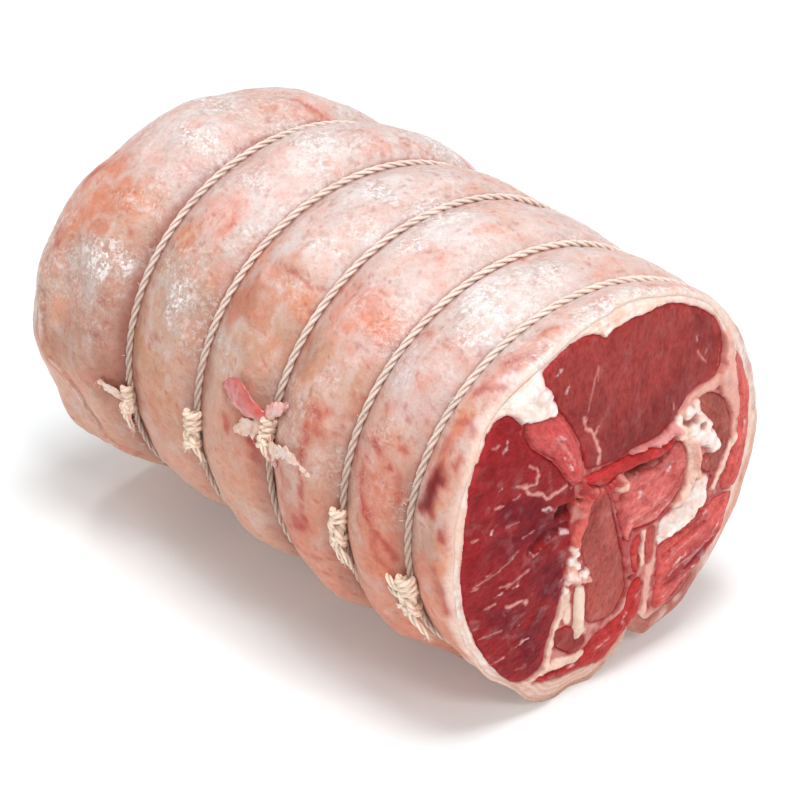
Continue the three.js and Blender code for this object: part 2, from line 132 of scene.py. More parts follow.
def noise(points, size, seed, octaves=1):
    """Smooth noise from about -1 to 1, with lumps of about the given size"""
    total = np.zeros(len(points))
    strength, whole = 1.0, 0.0
    for octave in range(octaves):
        place = points / size * 2 ** octave + SEED_STEP * seed + OCTAVE_STEP * octave
        cell = np.floor(place)
        part = place - cell
        part = part ** 3 * (part * (part * 6 - 15) + 10)
        cell = cell.astype(np.int64)
        for corner in range(8):
            step = np.array([corner & 1, corner >> 1 & 1, corner >> 2])
            weight = np.prod(np.where(step, part, 1 - part), axis=1)
            total += strength * weight * lattice(cell + step, seed + octave)
        whole += strength
        strength *= 0.5
    return total / whole * NOISE_SPAN


def flat_noise(points, size, seed, octaves=1, turn=0, stretch=1):
    """Noise over (across, up) points, stretched along a direction in degrees"""
    angle = math.radians(turn)
    along = points @ np.array([math.cos(angle), math.sin(angle)]) / stretch
    aside = points @ np.array([-math.sin(angle), math.cos(angle)])
    return noise(np.stack([along, aside, np.full(len(points), NOISE_PLANE)], axis=1), size, seed, octaves)


def flat_shift(points, size, seed, octaves):
    """Two noises over (across, up) points, as a shift across and up"""
    return np.stack([flat_noise(points, size, seed + axis, octaves) for axis in (0, 1)], axis=1)


def crest_lines(points, stretch, size, seed, octaves, sharpness):
    """Thin winding lines where a noise passes through zero, as a share from 0 to 1"""
    return np.clip(1 - np.abs(noise(points * stretch, size, seed, octaves)) * sharpness, 0, 1)


def blended(colour, other, amount):
    """Colours moved towards another one by a share for each point"""
    return colour + (other - colour) * np.clip(amount, 0, 1)[:, None]


def painted(count, colour):
    """One colour for each of a number of points"""
    return np.tile(colour, (count, 1))


def reach(points, line):
    """The distance of each point from a line through places, or from a single place"""
    line = np.array(line, float)
    if len(line) == 1:
        return np.linalg.norm(points - line[0], axis=1)
    best = np.full(len(points), np.inf)
    for start, end in zip(line[:-1], line[1:]):
        along = end - start
        share = np.clip((points - start) @ along / (along @ along), 0, 1)
        best = np.minimum(best, np.linalg.norm(points - start - share[:, None] * along, axis=1))
    return best


def inside(points, outline):
    """Whether each point lies inside a closed outline"""
    within = np.zeros(len(points), bool)
    for (y1, z1), (y2, z2) in zip(outline, np.roll(outline, -1, axis=0)):
        if z1 == z2:
            continue
        crosses = (points[:, 1] < z1) != (points[:, 1] < z2)
        where = y1 + (points[:, 1] - z1) / (z2 - z1) * (y2 - y1)
        within ^= crosses & (points[:, 0] < where)
    return within


def depth_inside(points, outline, limit):
    """How deep each point lies inside an outline, negative outside, worked out within a limit"""
    depth = np.full(len(points), -float(limit))
    low, high = outline.min(axis=0) - limit, outline.max(axis=0) + limit
    near = np.all((points > low) & (points < high), axis=1)
    closed = np.vstack([outline, outline[:1]])
    gap = reach(points[near], closed)
    depth[near] = np.where(inside(points[near], outline), gap, -gap)
    return depth


CURVE_SHARES = np.arange(0, 1, 0.05)[:, None]
LEAST_LOOP_POINTS, LEAST_LINE_POINTS = 12, 3


def curve_piece(p0, p1, p2, p3):
    """A smooth curve from the second place up to the third, led by the two beside them"""
    return 0.5 * (2 * p1 + (p2 - p0) * CURVE_SHARES + (2 * p0 - 5 * p1 + 4 * p2 - p3) * CURVE_SHARES ** 2
                  + (3 * p1 - p0 - 3 * p2 + p3) * CURVE_SHARES ** 3)


def walked_along(path):
    """How far along a path each of its points lies"""
    return np.concatenate([[0], np.cumsum(np.linalg.norm(np.diff(path, axis=0), axis=1))])


def at_lengths(curve, lengths):
    """Points of a curve at the given lengths along it"""
    walked = walked_along(curve)
    return np.stack([np.interp(lengths, walked, curve[:, axis]) for axis in range(curve.shape[1])], axis=1)


def spaced_loop(points, step):
    """A closed curve through points, at even steps"""
    points = np.array(points, float)
    corners = [np.roll(points, -offset, axis=0) for offset in (-1, 0, 1, 2)]
    pieces = [curve_piece(*four) for four in zip(*corners)]
    curve = np.vstack(pieces + [pieces[0][:1]])
    length = walked_along(curve)[-1]
    count = max(LEAST_LOOP_POINTS, round(length / step))
    return at_lengths(curve, np.linspace(0, length, count, endpoint=False))


def spaced_line(points, step):
    """An open smooth curve through points, at even steps"""
    points = np.array(points, float)
    padded = np.vstack([2 * points[0] - points[1], points, 2 * points[-1] - points[-2]])
    pieces = [curve_piece(*four) for four in zip(padded, padded[1:], padded[2:], padded[3:])]
    curve = np.vstack(pieces + [points[-1:]])
    length = walked_along(curve)[-1]
    return at_lengths(curve, np.linspace(0, length, max(LEAST_LINE_POINTS, round(length / step) + 1)))


def turning(outline):
    """Twice the area of an outline, negative when it runs clockwise"""
    after = np.roll(outline, -1, axis=0)
    return np.sum(outline[:, 0] * after[:, 1] - outline[:, 1] * after[:, 0])


def unit(directions):
    """Directions of length one"""
    return directions / np.linalg.norm(directions, axis=-1, keepdims=True)


# The roll's form, as in the solids
def eased(table, place):
    """The values of a table between its places, with an even start and end to each step"""
    places, values = table[:, 0], table[:, 1]
    place = np.clip(place, places[0], places[-1])
    index = np.clip(np.searchsorted(places, place, side="left") - 1, 0, len(places) - 2)
    share = (place - places[index]) / (places[index + 1] - places[index])
    return values[index] + (values[index + 1] - values[index]) * share * share * (3 - 2 * share)


def degrees_apart(angle, middle):
    return (angle - middle + 180) % 360 - 180


def nearness(angle, middle, half_angle):
    """A share that is 1 at a middle angle and 0 beyond a half angle from it"""
    return smooth(1 - np.abs(degrees_apart(angle, middle)) / half_angle, 0, 1)


def oval_point(place, angle, offset):
    """The bare oval at a place counted in planes, pushed out or in by an offset"""
    ring = np.clip(np.floor(place).astype(int), 0, FRONT - 1)
    share = (place - ring)[:, None]
    half_width, top, foot = ((1 - share) * RINGS[ring, 3:] + share * RINGS[ring + 1, 3:]).T
    for middle, half_angle, depth in FLATS:
        offset = offset - depth * nearness(angle, middle, half_angle)
    y = (half_width + offset) * np.cos(np.radians(angle))
    z = (top + foot) / 2 + ((top - foot) / 2 + offset) * np.sin(np.radians(angle))
    return y, z


def plane_x(ring, y, z):
    """How far along the roll a plane is, bowed and fallen in at the cut face and hollow at the back"""
    x, lean_y, lean_z = RINGS[ring, :3].T
    plain = x + lean_y * y + lean_z * (z - MIDDLE_HEIGHT)
    bowed = plain - FACE_BOW * (y * y + (z - FACE_BOW_HEIGHT) ** 2)
    for fall_y, fall_z, fall_reach, fall_depth in FACE_FALLS:
        near = np.clip(1 - np.hypot(y - fall_y, z - fall_z) / fall_reach, 0, None)
        bowed = bowed - fall_depth * near * near
    hollow = plain + BACK_BOW * (y * y + (z - MIDDLE_HEIGHT) ** 2)
    return np.where(ring == FRONT, bowed, np.where(ring == BACK, hollow, plain))


def rounding(distance, radius):
    """The fall of a rounded edge at a distance from it, as a share of its radius"""
    share = np.clip(1 - distance / radius, 0, 1)
    return 1 - np.sqrt(1 - share * share)


# The length of one degree round the skin
DEGREE_LENGTH = 1.13

# A lobe of fat that ends in a fold, and the edge of a flap at the back: places, height, half width
FOLD_LOBE = (-30, 9, 118, 130.5, 1.2)
SKIN_LUMPS = [
    (-126, 124, 8, 7, -1.9), (-120, 104, 10, 9, 1.1), (-128, 160, 10, 8, 1.2), (-112, 76, 12, 8, 0.9),
    (-88, 70, 8, 10, -1.4), (-62, 160, 8, 8, 0.8), (-30, 160, 9, 7, 0.6), (2, 168, 10, 8, 0.7),
    (28, 152, 8, 8, 0.6), (-60, 82, 8, 8, 0.8), (-34, 84, 8, 8, 0.7), (0, 88, 8, 8, 0.6),
    (30, 92, 8, 8, 0.6), (-10, 128, 4, 6, -0.7), (16, 140, 4, 8, -0.5), (-50, 120, 3, 7, -0.6),
    (-100, 30, 12, 12, 1.2), (-50, 20, 10, 12, 0.9), (0, 20, 10, 10, -0.8), (30, 30, 9, 10, 0.8),
    (-20, -20, 10, 12, 0.8),
]
FLAP_EDGE = [
    (-123, 168), (-121, 176), (-118, 182), (-113, 188), (-109, 195), (-106, 202), (-102, 210), (-96, 214),
]


# Relief of the skin: height and size of its lumps with their seeds, then its grain, its wrinkles where
# a wide noise is high, the puckers that fade with the distance from a loop, and the two folds of fat
SKIN_LUMP_NOISES = [(0.85, 26, 3), (0.34, 8, 4)]
GRAIN_STRETCH, GRAIN_HEIGHT, GRAIN_SIZE = np.array([1.7, 1, 1]), 0.13, 3.2
WRINKLE_STRETCH, WRINKLE_DEPTH, WRINKLE_SIZE = np.array([1.0, 0.6, 0.8]), 0.16, 4.6
WRINKLE_SHARPNESS, WRINKLED_SIZE, WRINKLED_LEVELS = 3.5, 21, (-0.1, 0.5)
PUCKER_HEIGHT, PUCKER_SIZE, PUCKER_FADE, PUCKER_START = 0.5, 4.2, 5, (0.6, 2.5)
PUCKER_ALONG, PUCKER_ROUND = 0.25, 1.1
LOBE_RISE, LOBE_FALL = 2, (-0.6, 1.0)
LOBE_WAVE, LOBE_WAVE_SIZE = 0.9, 7
FLAP_RISE, FLAP_EDGE_WIDTHS = 0.9, (0.2, 1.2)
FLAP_GROOVE, GROOVE_PLACE, GROOVE_WIDTHS = 0.5, 1.8, (0.2, 0.9)
FLAP_WAVE, FLAP_WAVE_SIZE = 0.5, 4


def along_skin(line):
    """Places given as (along, degrees round) with the degrees as a length"""
    return [(x, degrees * DEGREE_LENGTH) for x, degrees in line]


def flap_gap(points, where):
    """The distance from the edge of the flap, a little uneven"""
    return reach(where, along_skin(FLAP_EDGE)) + FLAP_WAVE * noise(points, FLAP_WAVE_SIZE, 12)


def skin_relief(base, angle, from_loop):
    """Lumps, wrinkles and puckers of the skin, as a push outwards"""
    push = sum(height * noise(base, size, seed, 2) for height, size, seed in SKIN_LUMP_NOISES)
    push += GRAIN_HEIGHT * noise(base * GRAIN_STRETCH, GRAIN_SIZE, 5, 2)
    wrinkles = crest_lines(base, WRINKLE_STRETCH, WRINKLE_SIZE, 9, 2, WRINKLE_SHARPNESS)
    push -= WRINKLE_DEPTH * wrinkles * smooth(noise(base, WRINKLED_SIZE, 10), *WRINKLED_LEVELS)
    pucker = np.exp(-from_loop / PUCKER_FADE) * smooth(from_loop, *PUCKER_START)
    squeezed = np.stack([base[:, 0] * PUCKER_ALONG, angle * PUCKER_ROUND, angle * 0], axis=1)
    push += pucker * PUCKER_HEIGHT * noise(squeezed, PUCKER_SIZE, 6, 2)
    turned = angle % 360
    middle, half, start, end, height = FOLD_LOBE
    edge = end + LOBE_WAVE * noise(base, LOBE_WAVE_SIZE, 11)
    lobe = height * np.exp(-((base[:, 0] - middle) / half) ** 2) * smooth(turned, start, end - LOBE_RISE)
    push += lobe * (1 - smooth(turned - edge, *LOBE_FALL))
    for middle, degrees, half, half_round, lump in SKIN_LUMPS:
        apart = degrees_apart(turned, degrees)
        push += lump * np.exp(-((base[:, 0] - middle) / half) ** 2 - (apart / half_round) ** 2)
    gap = flap_gap(base, np.stack([base[:, 0], turned * DEGREE_LENGTH], axis=1))
    groove = 1 - smooth(np.abs(gap - GROOVE_PLACE), *GROOVE_WIDTHS)
    return push + FLAP_RISE * (1 - smooth(gap, *FLAP_EDGE_WIDTHS)) - FLAP_GROOVE * groove


# How uneven the swells are, how far from a loop the relief begins, and the least length of a bend
SWELL_UNEVEN, SWELL_UNEVEN_SIZE = 0.16, 17
RELIEF_START = (0.4, 3)
LEAST_LENGTH = 1


def skin_point(place, angle, extra=0.0):
    """Points of the outer surface at a place counted in planes, such as 2.5 between loops 2 and 3"""
    ring = np.clip(np.floor(place).astype(int), 0, FRONT - 1)
    share = place - ring
    plan_y, plan_z = oval_point(place, angle, 0)
    behind, ahead = plane_x(ring, plan_y, plan_z), plane_x(ring + 1, plan_y, plan_z)
    x = behind + (ahead - behind) * share
    away = SWELL_REACH + BED_HALF_WIDTH
    from_behind = np.where(ring == BACK, away, x - behind)
    from_ahead = np.where(ring == LAST_LOOP, away, ahead - x)
    from_loop = np.minimum(from_behind, from_ahead)
    height, more, side = SWELLS[ring].T
    base = np.stack([x, plan_y, plan_z], axis=1)
    swell = np.maximum(LEAST_SWELL, height + more * np.cos(np.radians(angle - side)))
    swell = swell * (1 + SWELL_UNEVEN * noise(base, SWELL_UNEVEN_SIZE, 8))
    risen = np.clip((from_loop - BED_HALF_WIDTH) / SWELL_REACH, 0, 1)
    offset = (swell + BED_DEPTH) * (1 - (1 - risen) ** SWELL_STEEPNESS) - BED_DEPTH
    offset -= eased(SEAM_DEPTHS, place) * nearness(angle, SEAM_ANGLE, SEAM_HALF_ANGLE)
    offset += skin_relief(base, angle, from_loop) * smooth(from_loop, *RELIEF_START)
    at_back = ring == BACK
    offset -= at_back * (BACK_INSET + swell) * rounding(x - behind, BACK_ROUNDING)
    inset = eased(RIM_INSET, angle)
    length = np.maximum(ahead - behind, LEAST_LENGTH)
    bend = np.minimum(np.maximum(np.abs(inset) * RIM_REACH, FRONT_ROUNDING), length)
    at_front = ring == LAST_LOOP
    offset -= at_front * (inset + swell) * rounding(ahead - x, bend)
    y, z = oval_point(place, angle, offset + extra)
    x = x + at_back * (plane_x(ring, y, z) - behind) * (1 - share)
    x = x + at_front * (plane_x(ring + 1, y, z) - ahead) * share ** 2
    return np.stack([x, y, np.maximum(z, LEAST_HEIGHT)], axis=1)


def loop_point(loop, angle, offset=0.0):
    """Points of the oval that a loop of twine follows, pushed out by an offset"""
    angle = np.atleast_1d(np.array(angle, float))
    place = np.full(len(angle), float(loop))
    y, z = oval_point(place, angle, np.zeros(len(angle)) + offset)
    return np.stack([plane_x(np.full(len(angle), loop), y, z), y, z], axis=1)


MIDDLE_PLACE = 3.0
BEFORE_NEXT = 0.999


def place_of(x, angle):
    """The place counted in planes for a distance along the roll"""
    angle = np.atleast_1d(np.array(angle, float))
    x = np.atleast_1d(np.array(x, float)) + 0 * angle
    y, z = oval_point(np.full(len(angle), MIDDLE_PLACE), angle, np.zeros(len(angle)))
    edges = np.stack([plane_x(np.full(len(angle), ring), y, z) for ring in range(FRONT + 1)], axis=1)
    place = np.zeros(len(angle))
    for ring in range(FRONT):
        share = (x - edges[:, ring]) / (edges[:, ring + 1] - edges[:, ring])
        place = np.where(share >= 0, ring + np.clip(share, 0, BEFORE_NEXT), place)
    return place


def on_skin(x, angle, lift=0.0):
    """Points at a lift above the skin, for a distance along the roll and an angle"""
    return skin_point(place_of(x, angle), np.atleast_1d(np.array(angle, float)), lift)


# Making meshes


def new_piece(name, points, faces, material, colours, wet, replaced=()):
    """A piece that rides on the roll, with its colour and wetness at each point"""
    mesh = bpy.data.meshes.new(name)
    points = np.column_stack([points[:, :2], np.maximum(points[:, 2], LEAST_HEIGHT)])
    mesh.from_pydata(((points + ORIGIN) * MM).tolist(), [], faces)
    mesh.update()
    data = np.ones((len(points), 4))
    data[:, :3] = np.clip(colours, 0, 1)
    mesh.attributes.new("paint", "FLOAT_COLOR", "POINT").data.foreach_set("color", data.ravel())
    mesh.attributes.new("wet", "FLOAT", "POINT").data.foreach_set("value", np.clip(wet, 0, 1))
    mesh.polygons.foreach_set("use_smooth", np.ones(len(mesh.polygons), bool))
    mesh.materials.append(material)
    piece = bpy.data.objects.new(name, mesh)
    bpy.context.collection.objects.link(piece)
    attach(piece, "root")
    if replaced:
        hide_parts(*replaced)


def band_faces(start, other, count, flipped=False):
    """Quads between two closed rings of points"""
    faces = []
    for index in range(count):
        after = (index + 1) % count
        quad = (start + index, start + after, other + after, other + index)
        faces.append(quad[::-1] if flipped else quad)
    return faces


def stacked_faces(rings, sides, closed=False, flipped=False):
    """Quads between rings of points in a row, with a lid at each end unless the row closes on itself"""
    faces = []
    for ring in range(rings if closed else rings - 1):
        faces += band_faces(ring * sides, (ring + 1) % rings * sides, sides, flipped)
    if not closed:
        start, end = tuple(range(sides)), tuple(range((rings - 1) * sides, rings * sides))
        faces += [start, end[::-1]] if flipped else [start[::-1], end]
    return faces


# How far inside an outline its filling starts, as a share of the spacing, and how near points merge
FILL_CLEARANCE = 0.55
MERGE_DISTANCE = 1e-5
ONLY_INSIDE = 1


def filled(outline, spacing):
    """Points and triangles that fill a closed outline, with the outline's own points first"""
    low, high = outline.min(axis=0), outline.max(axis=0)
    rows = np.arange(low[1], high[1], spacing * math.sqrt(3) / 2)
    grid = []
    for number, height in enumerate(rows):
        across = np.arange(low[0] + (number % 2) * spacing / 2, high[0], spacing)
        grid.append(np.stack([across, np.full(len(across), height)], axis=1))
    grid = np.concatenate(grid)
    closed = np.vstack([outline, outline[:1]])
    keep = inside(grid, outline)
    keep[keep] = reach(grid[keep], closed) > spacing * FILL_CLEARANCE
    coords = [Vector(point) for point in np.vstack([outline, grid[keep]]).tolist()]
    border = [list(range(len(outline)))]
    found, _, faces, sources, _, _ = delaunay_2d_cdt(coords, [], border, ONLY_INSIDE, MERGE_DISTANCE)
    order = {old: new for new, olds in enumerate(sources) for old in olds}
    rank = [order[index] for index in range(len(outline))]
    on_border = set(rank)
    whole = rank + [index for index in range(len(found)) if index not in on_border]
    new_of = {old: new for new, old in enumerate(whole)}
    flat = np.array([tuple(found[index]) for index in whole])
    return flat, [tuple(new_of[corner] for corner in face) for face in faces]


# Materials
def node_of(tree, kind, **inputs):
    node = tree.nodes.new("ShaderNode" + kind)
    for name, value in inputs.items():
        node.inputs[name.replace("_", " ")].default_value = value
    return node


def spread(tree, value, smoothed=True, **levels):
    """A value spread from its levels From_Min and From_Max to To_Min and To_Max"""
    node = node_of(tree, "MapRange", **levels)
    node.interpolation_type = "SMOOTHSTEP" if smoothed else "LINEAR"
    tree.links.new(value, node.inputs["Value"])
    return node.outputs["Result"]


def noise_of(tree, vector, scale, detail, distortion=0.0):
    texture = node_of(tree, "TexNoise", Scale=scale, Detail=detail, Distortion=distortion)
    tree.links.new(vector, texture.inputs["Vector"])
    return texture.outputs["Fac"]


def noise_share(tree, vector, scale, detail, low, high, distortion=0.0):
    """Noise turned into a share from 0 to 1 between two of its levels"""
    return spread(tree, noise_of(tree, vector, scale, detail, distortion), From_Min=low, From_Max=high)


def ranged(tree, share, low, high):
    """A share from 0 to 1 as a number between two others"""
    return spread(tree, share, smoothed=False, To_Min=low, To_Max=high)


def attribute(tree, name, output):
    node = tree.nodes.new("ShaderNodeAttribute")
    node.attribute_name = name
    return node.outputs[output]


def bump_of(tree, height, distance):
    """A bump node of a height in the shape of a noise, with its strength left to set"""
    node = node_of(tree, "Bump", Distance=distance * MM)
    tree.links.new(height, node.inputs["Height"])
    return node


CREST_DETAIL, CREST_WARP = 3, 1.2


def times(tree, first, second):
    product = tree.nodes.new("ShaderNodeMath")
    product.operation = "MULTIPLY"
    tree.links.new(first, product.inputs[0])
    tree.links.new(second, product.inputs[1])
    return product.outputs["Value"]


def crests(tree, vector, scale, half_width):
    """Thin curved lines, as the share of each place that they cover"""
    height = noise_of(tree, vector, scale, CREST_DETAIL, CREST_WARP)
    edges = (0.5 - half_width, 0.5 + half_width)
    return times(tree, *(spread(tree, height, From_Min=edge, From_Max=0.5) for edge in edges))


def mixed(tree, share, colour, tint, blend):
    mix = tree.nodes.new("ShaderNodeMix")
    mix.data_type = "RGBA"
    mix.blend_type = blend
    tree.links.new(share, mix.inputs[0])
    tree.links.new(colour, mix.inputs[6])
    mix.inputs[7].default_value = (*tint, 1)
    return mix.outputs[2]


# Painted highlights of a wet place as a display white, with painted shade as a tint between them, their
# islands and lines;
# and the film of water: its patches, how smooth it is, how its ripples lie and how a wet place deepens the
# bumps
PAINTED_GLINT_WHITE = tuple(shade(255, 252, 251))
PAINTED_SHADE_BETWEEN_GLINTS = (0.88, 0.8, 0.77)
GAP_DETAIL, GAP_LEVELS = 3, (0.62, 0.38)
ISLAND_SCALE, ISLAND_DETAIL, ISLAND_LEVELS, ISLAND_WARP = 1.7, 2, (0.5, 0.66), 0.6
LINE_STRENGTH = 0.6
FILM_SCALE, FILM_DETAIL, FILM_SMOOTHING, FILM_ROUGHNESS = 260, 4, 0.6, 0.07
RIPPLE_DETAIL, RIPPLE_WARP, RIPPLE_HEIGHT = 2, 0.8, 0.8
BUMP_WARP, DRY_BUMP, WET_BUMP = 0.5, 0.6, 1.3
FLESH_RADIUS = (1.0, 0.36, 0.24)


def new_material(name):
    """A new material's node tree, its shader and the place of each point"""
    material = bpy.data.materials.new(name)
    material.use_nodes = True
    tree = material.node_tree
    place = tree.nodes.new("ShaderNodeTexCoord").outputs["Object"]
    return material, tree, tree.nodes["Principled BSDF"], place


def with_painted_glints(tree, place, wet, colour, scale, half_width, strength):
    """A colour with painted highlights of a wet place, as small white islands and thin lines, with painted
    shade between them
    """
    gaps = times(tree, wet, noise_share(tree, place, scale, GAP_DETAIL, *GAP_LEVELS))
    colour = mixed(tree, gaps, colour, PAINTED_SHADE_BETWEEN_GLINTS, "MULTIPLY")
    soaked_and_painted_light = times(tree, wet, wet)
    islands = noise_share(tree, place, ISLAND_SCALE * scale, ISLAND_DETAIL, *ISLAND_LEVELS, ISLAND_WARP)
    colour = mixed(tree, ranged(tree, times(tree, islands, soaked_and_painted_light), 0, strength), colour, PAINTED_GLINT_WHITE, "MIX")
    lines = times(tree, crests(tree, place, scale, half_width), soaked_and_painted_light)
    return mixed(tree, ranged(tree, lines, 0, LINE_STRENGTH * strength), colour, PAINTED_GLINT_WHITE, "MIX")


def wet_material(name, roughness, coat, gloss, scatter, mottles, bumps, film, painted_glints=None, fibre=0.0,
                 stretch=1.0):
    """A moist surface. The scatter is (share, size in millimetres), each mottle is (scale, detail, low,
    high, tint, strength, follows fibre), each bump is (scale, detail, strength, distance in millimetres,
    follows fibre), the film of water is (scale of its ripples, their strength, low, high of its patches)
    and the painted glints, where there are any, are painted highlights with painted shade between them:
    (scale, half width of their lines, strength)."""
    material, tree, shader, place = new_material(name)
    turned = tree.nodes.new("ShaderNodeMapping")
    turned.vector_type = "TEXTURE"
    turned.inputs["Rotation"].default_value = (math.radians(fibre), 0, 0)
    turned.inputs["Scale"].default_value = (1, stretch, 1)
    tree.links.new(place, turned.inputs["Vector"])
    along = turned.outputs["Vector"]
    colour, wet = attribute(tree, "paint", "Color"), attribute(tree, "wet", "Fac")
    for scale, detail, low, high, tint, strength, follows in mottles:
        share = noise_share(tree, along if follows else place, scale, detail, low, high)
        colour = mixed(tree, ranged(tree, share, 0, strength), colour, tint, "MULTIPLY")
    # Painted highlights, and painted shade between them, where the surface is wet
    if painted_glints:
        colour = with_painted_glints(tree, place, wet, colour, *painted_glints)
    tree.links.new(colour, shader.inputs["Base Color"])
    ripple_scale, ripple_strength, low, high = film
    shine = times(tree, wet, noise_share(tree, place, FILM_SCALE, FILM_DETAIL, low, high))
    tree.links.new(ranged(tree, shine, roughness, roughness * FILM_SMOOTHING), shader.inputs["Roughness"])
    tree.links.new(ranged(tree, shine, 0, coat), shader.inputs["Coat Weight"])
    shader.inputs["Coat Roughness"].default_value = FILM_ROUGHNESS
    shader.inputs["Specular IOR Level"].default_value = gloss
    shader.inputs["Subsurface Weight"].default_value = scatter[0]
    shader.inputs["Subsurface Radius"].default_value = FLESH_RADIUS
    shader.inputs["Subsurface Scale"].default_value = scatter[1] * MM
    target = shader.inputs["Normal"]
    for scale, detail, strength, distance, follows in bumps[::-1]:
        bump = bump_of(tree, noise_of(tree, along if follows else place, scale, detail, BUMP_WARP), distance)
        deeper = ranged(tree, wet, DRY_BUMP * strength, WET_BUMP * strength)
        tree.links.new(deeper, bump.inputs["Strength"])
        tree.links.new(bump.outputs["Normal"], target)
        target = bump.inputs["Normal"]
    ripples = bump_of(tree, noise_of(tree, along, ripple_scale, RIPPLE_DETAIL, RIPPLE_WARP), RIPPLE_HEIGHT)
    ripples.inputs["Strength"].default_value = ripple_strength
    tree.links.new(ripples.outputs["Normal"], shader.inputs["Coat Normal"])
    return material


# The twine: scale, detail and levels of its mottle, its tint and strength, and the fuzz of its fibres
TWINE_MOTTLE = (900, 3, 0.4, 0.7)
TWINE_TINT, TWINE_TINT_STRENGTH = (0.82, 0.72, 0.64), 0.5
TWINE_FUZZ_SCALE, TWINE_FUZZ_DETAIL, TWINE_FUZZ_HEIGHT, TWINE_FUZZ_STRENGTH = 3600, 3, 0.12, 0.5
TWINE_ROUGHNESS, TWINE_SHEEN, TWINE_SCATTER, TWINE_SCATTER_SIZE = 0.75, 0.15, 0.15, 0.5


def twine_material():
    """Twisted cotton"""
    material, tree, shader, place = new_material("twisted_cotton")
    share = ranged(tree, noise_share(tree, place, *TWINE_MOTTLE), 0, TWINE_TINT_STRENGTH)
    colour = mixed(tree, share, attribute(tree, "paint", "Color"), TWINE_TINT, "MULTIPLY")
    tree.links.new(colour, shader.inputs["Base Color"])
    shader.inputs["Roughness"].default_value = TWINE_ROUGHNESS
    shader.inputs["Sheen Weight"].default_value = TWINE_SHEEN
    shader.inputs["Subsurface Weight"].default_value = TWINE_SCATTER
    shader.inputs["Subsurface Scale"].default_value = TWINE_SCATTER_SIZE * MM
    fuzz = bump_of(tree, noise_of(tree, place, TWINE_FUZZ_SCALE, TWINE_FUZZ_DETAIL), TWINE_FUZZ_HEIGHT)
    fuzz.inputs["Strength"].default_value = TWINE_FUZZ_STRENGTH
    tree.links.new(fuzz.outputs["Normal"], shader.inputs["Normal"])
    return material


SKIN_MATERIAL = wet_material(
    "fat_skin", 0.42, 1.0, 0.3, (0.15, 1.8),
    mottles=[
        (150, 5, 0.5, 0.68, (1.0, 0.9, 0.86), 0.6, False),
        (560, 5, 0.48, 0.7, (0.93, 0.82, 0.77), 0.7, False),
        (1300, 3, 0.5, 0.7, (0.86, 0.75, 0.71), 0.6, False),
        (420, 5, 0.52, 0.74, (1.05, 1.1, 1.12), 0.7, False)],
    bumps=[(240, 5, 0.55, 1.4, False), (620, 4, 0.5, 0.8, False), (1500, 2, 0.25, 0.3, False)],
    film=(520, 1.0, 0.4, 0.55), painted_glints=(380, 0.05, 0.8))
SCRAP_MATERIAL = wet_material(
    "torn_tissue", 0.3, 1.0, 0.6, (0.12, 0.8),
    mottles=[
        (420, 5, 0.48, 0.7, (1.0, 0.8, 0.76), 0.7, False),
        (1300, 3, 0.5, 0.72, (0.93, 0.8, 0.76), 0.7, False)],
    bumps=[(520, 4, 0.5, 0.6, False)], film=(480, 0.9, 0.15, 0.4))
FAT_MATERIAL = wet_material(
    "cut_fat", 0.4, 0.9, 0.3, (0.3, 1.6),
    mottles=[
        (300, 5, 0.48, 0.7, (1.0, 0.84, 0.78), 0.7, False),
        (900, 4, 0.5, 0.72, (0.93, 0.8, 0.74), 0.7, False)],
    bumps=[(380, 4, 0.6, 1.0, False), (1200, 3, 0.5, 0.35, False)], film=(420, 0.6, 0.48, 0.62))


def meat_material(name, fibre, pale_specks):
    """Raw meat, with its grain along the fibres"""
    return wet_material(
        name, 0.5, 0.7, 0.12, (0.2, 1.1),
        mottles=[
            (1150, 4, 0.42, 0.64, (0.76, 0.58, 0.58), 0.75, True),
            (2000, 2, 0.48, 0.7, (0.82, 0.66, 0.66), 0.7, True),
            (300, 4, 0.48, 0.66, (0.76, 0.6, 0.62), 0.5, False),
            (1500, 3, 0.58, 0.74, (1.15, 1.5, 1.42), pale_specks, True)],
        bumps=[(900, 4, 0.45, 0.5, True), (330, 4, 0.45, 0.9, False), (1700, 2, 0.25, 0.2, False)],
        film=(520, 1.0, 0.52, 0.62), fibre=fibre, stretch=1.9)


TWINE_MATERIAL = twine_material()

# Colours of the skin; its white also serves as painted sheen and painted highlights
SKIN_WHITE_AND_SHEEN = shade(231, 223, 221)
SKIN_PALE = shade(220, 202, 198)
SKIN_PINK = shade(221, 176, 160)
SKIN_LILAC = shade(214, 180, 174)
SKIN_SALMON = shade(228, 146, 126)
SKIN_ORANGE = shade(226, 146, 108)
SKIN_YELLOW = shade(208, 158, 112)
SKIN_TAN = shade(208, 156, 130)
SKIN_BEIGE = shade(204, 166, 140)
SKIN_BROWN = shade(180, 124, 100)
SKIN_GREY = shade(195, 166, 151)
SKIN_DEEP = shade(208, 122, 96)
SKIN_RED = shade(178, 52, 42)
# Painted shade in the valleys beside the twine and in the groove beside the flap
PAINTED_VALLEY_SHADE = shade(150, 98, 84)
BRUISE = shade(120, 6, 14)
RIM_CREAM = shade(236, 211, 197)
RIM_TAN = shade(206, 160, 138)
RIM_MEAT = shade(164, 72, 58)
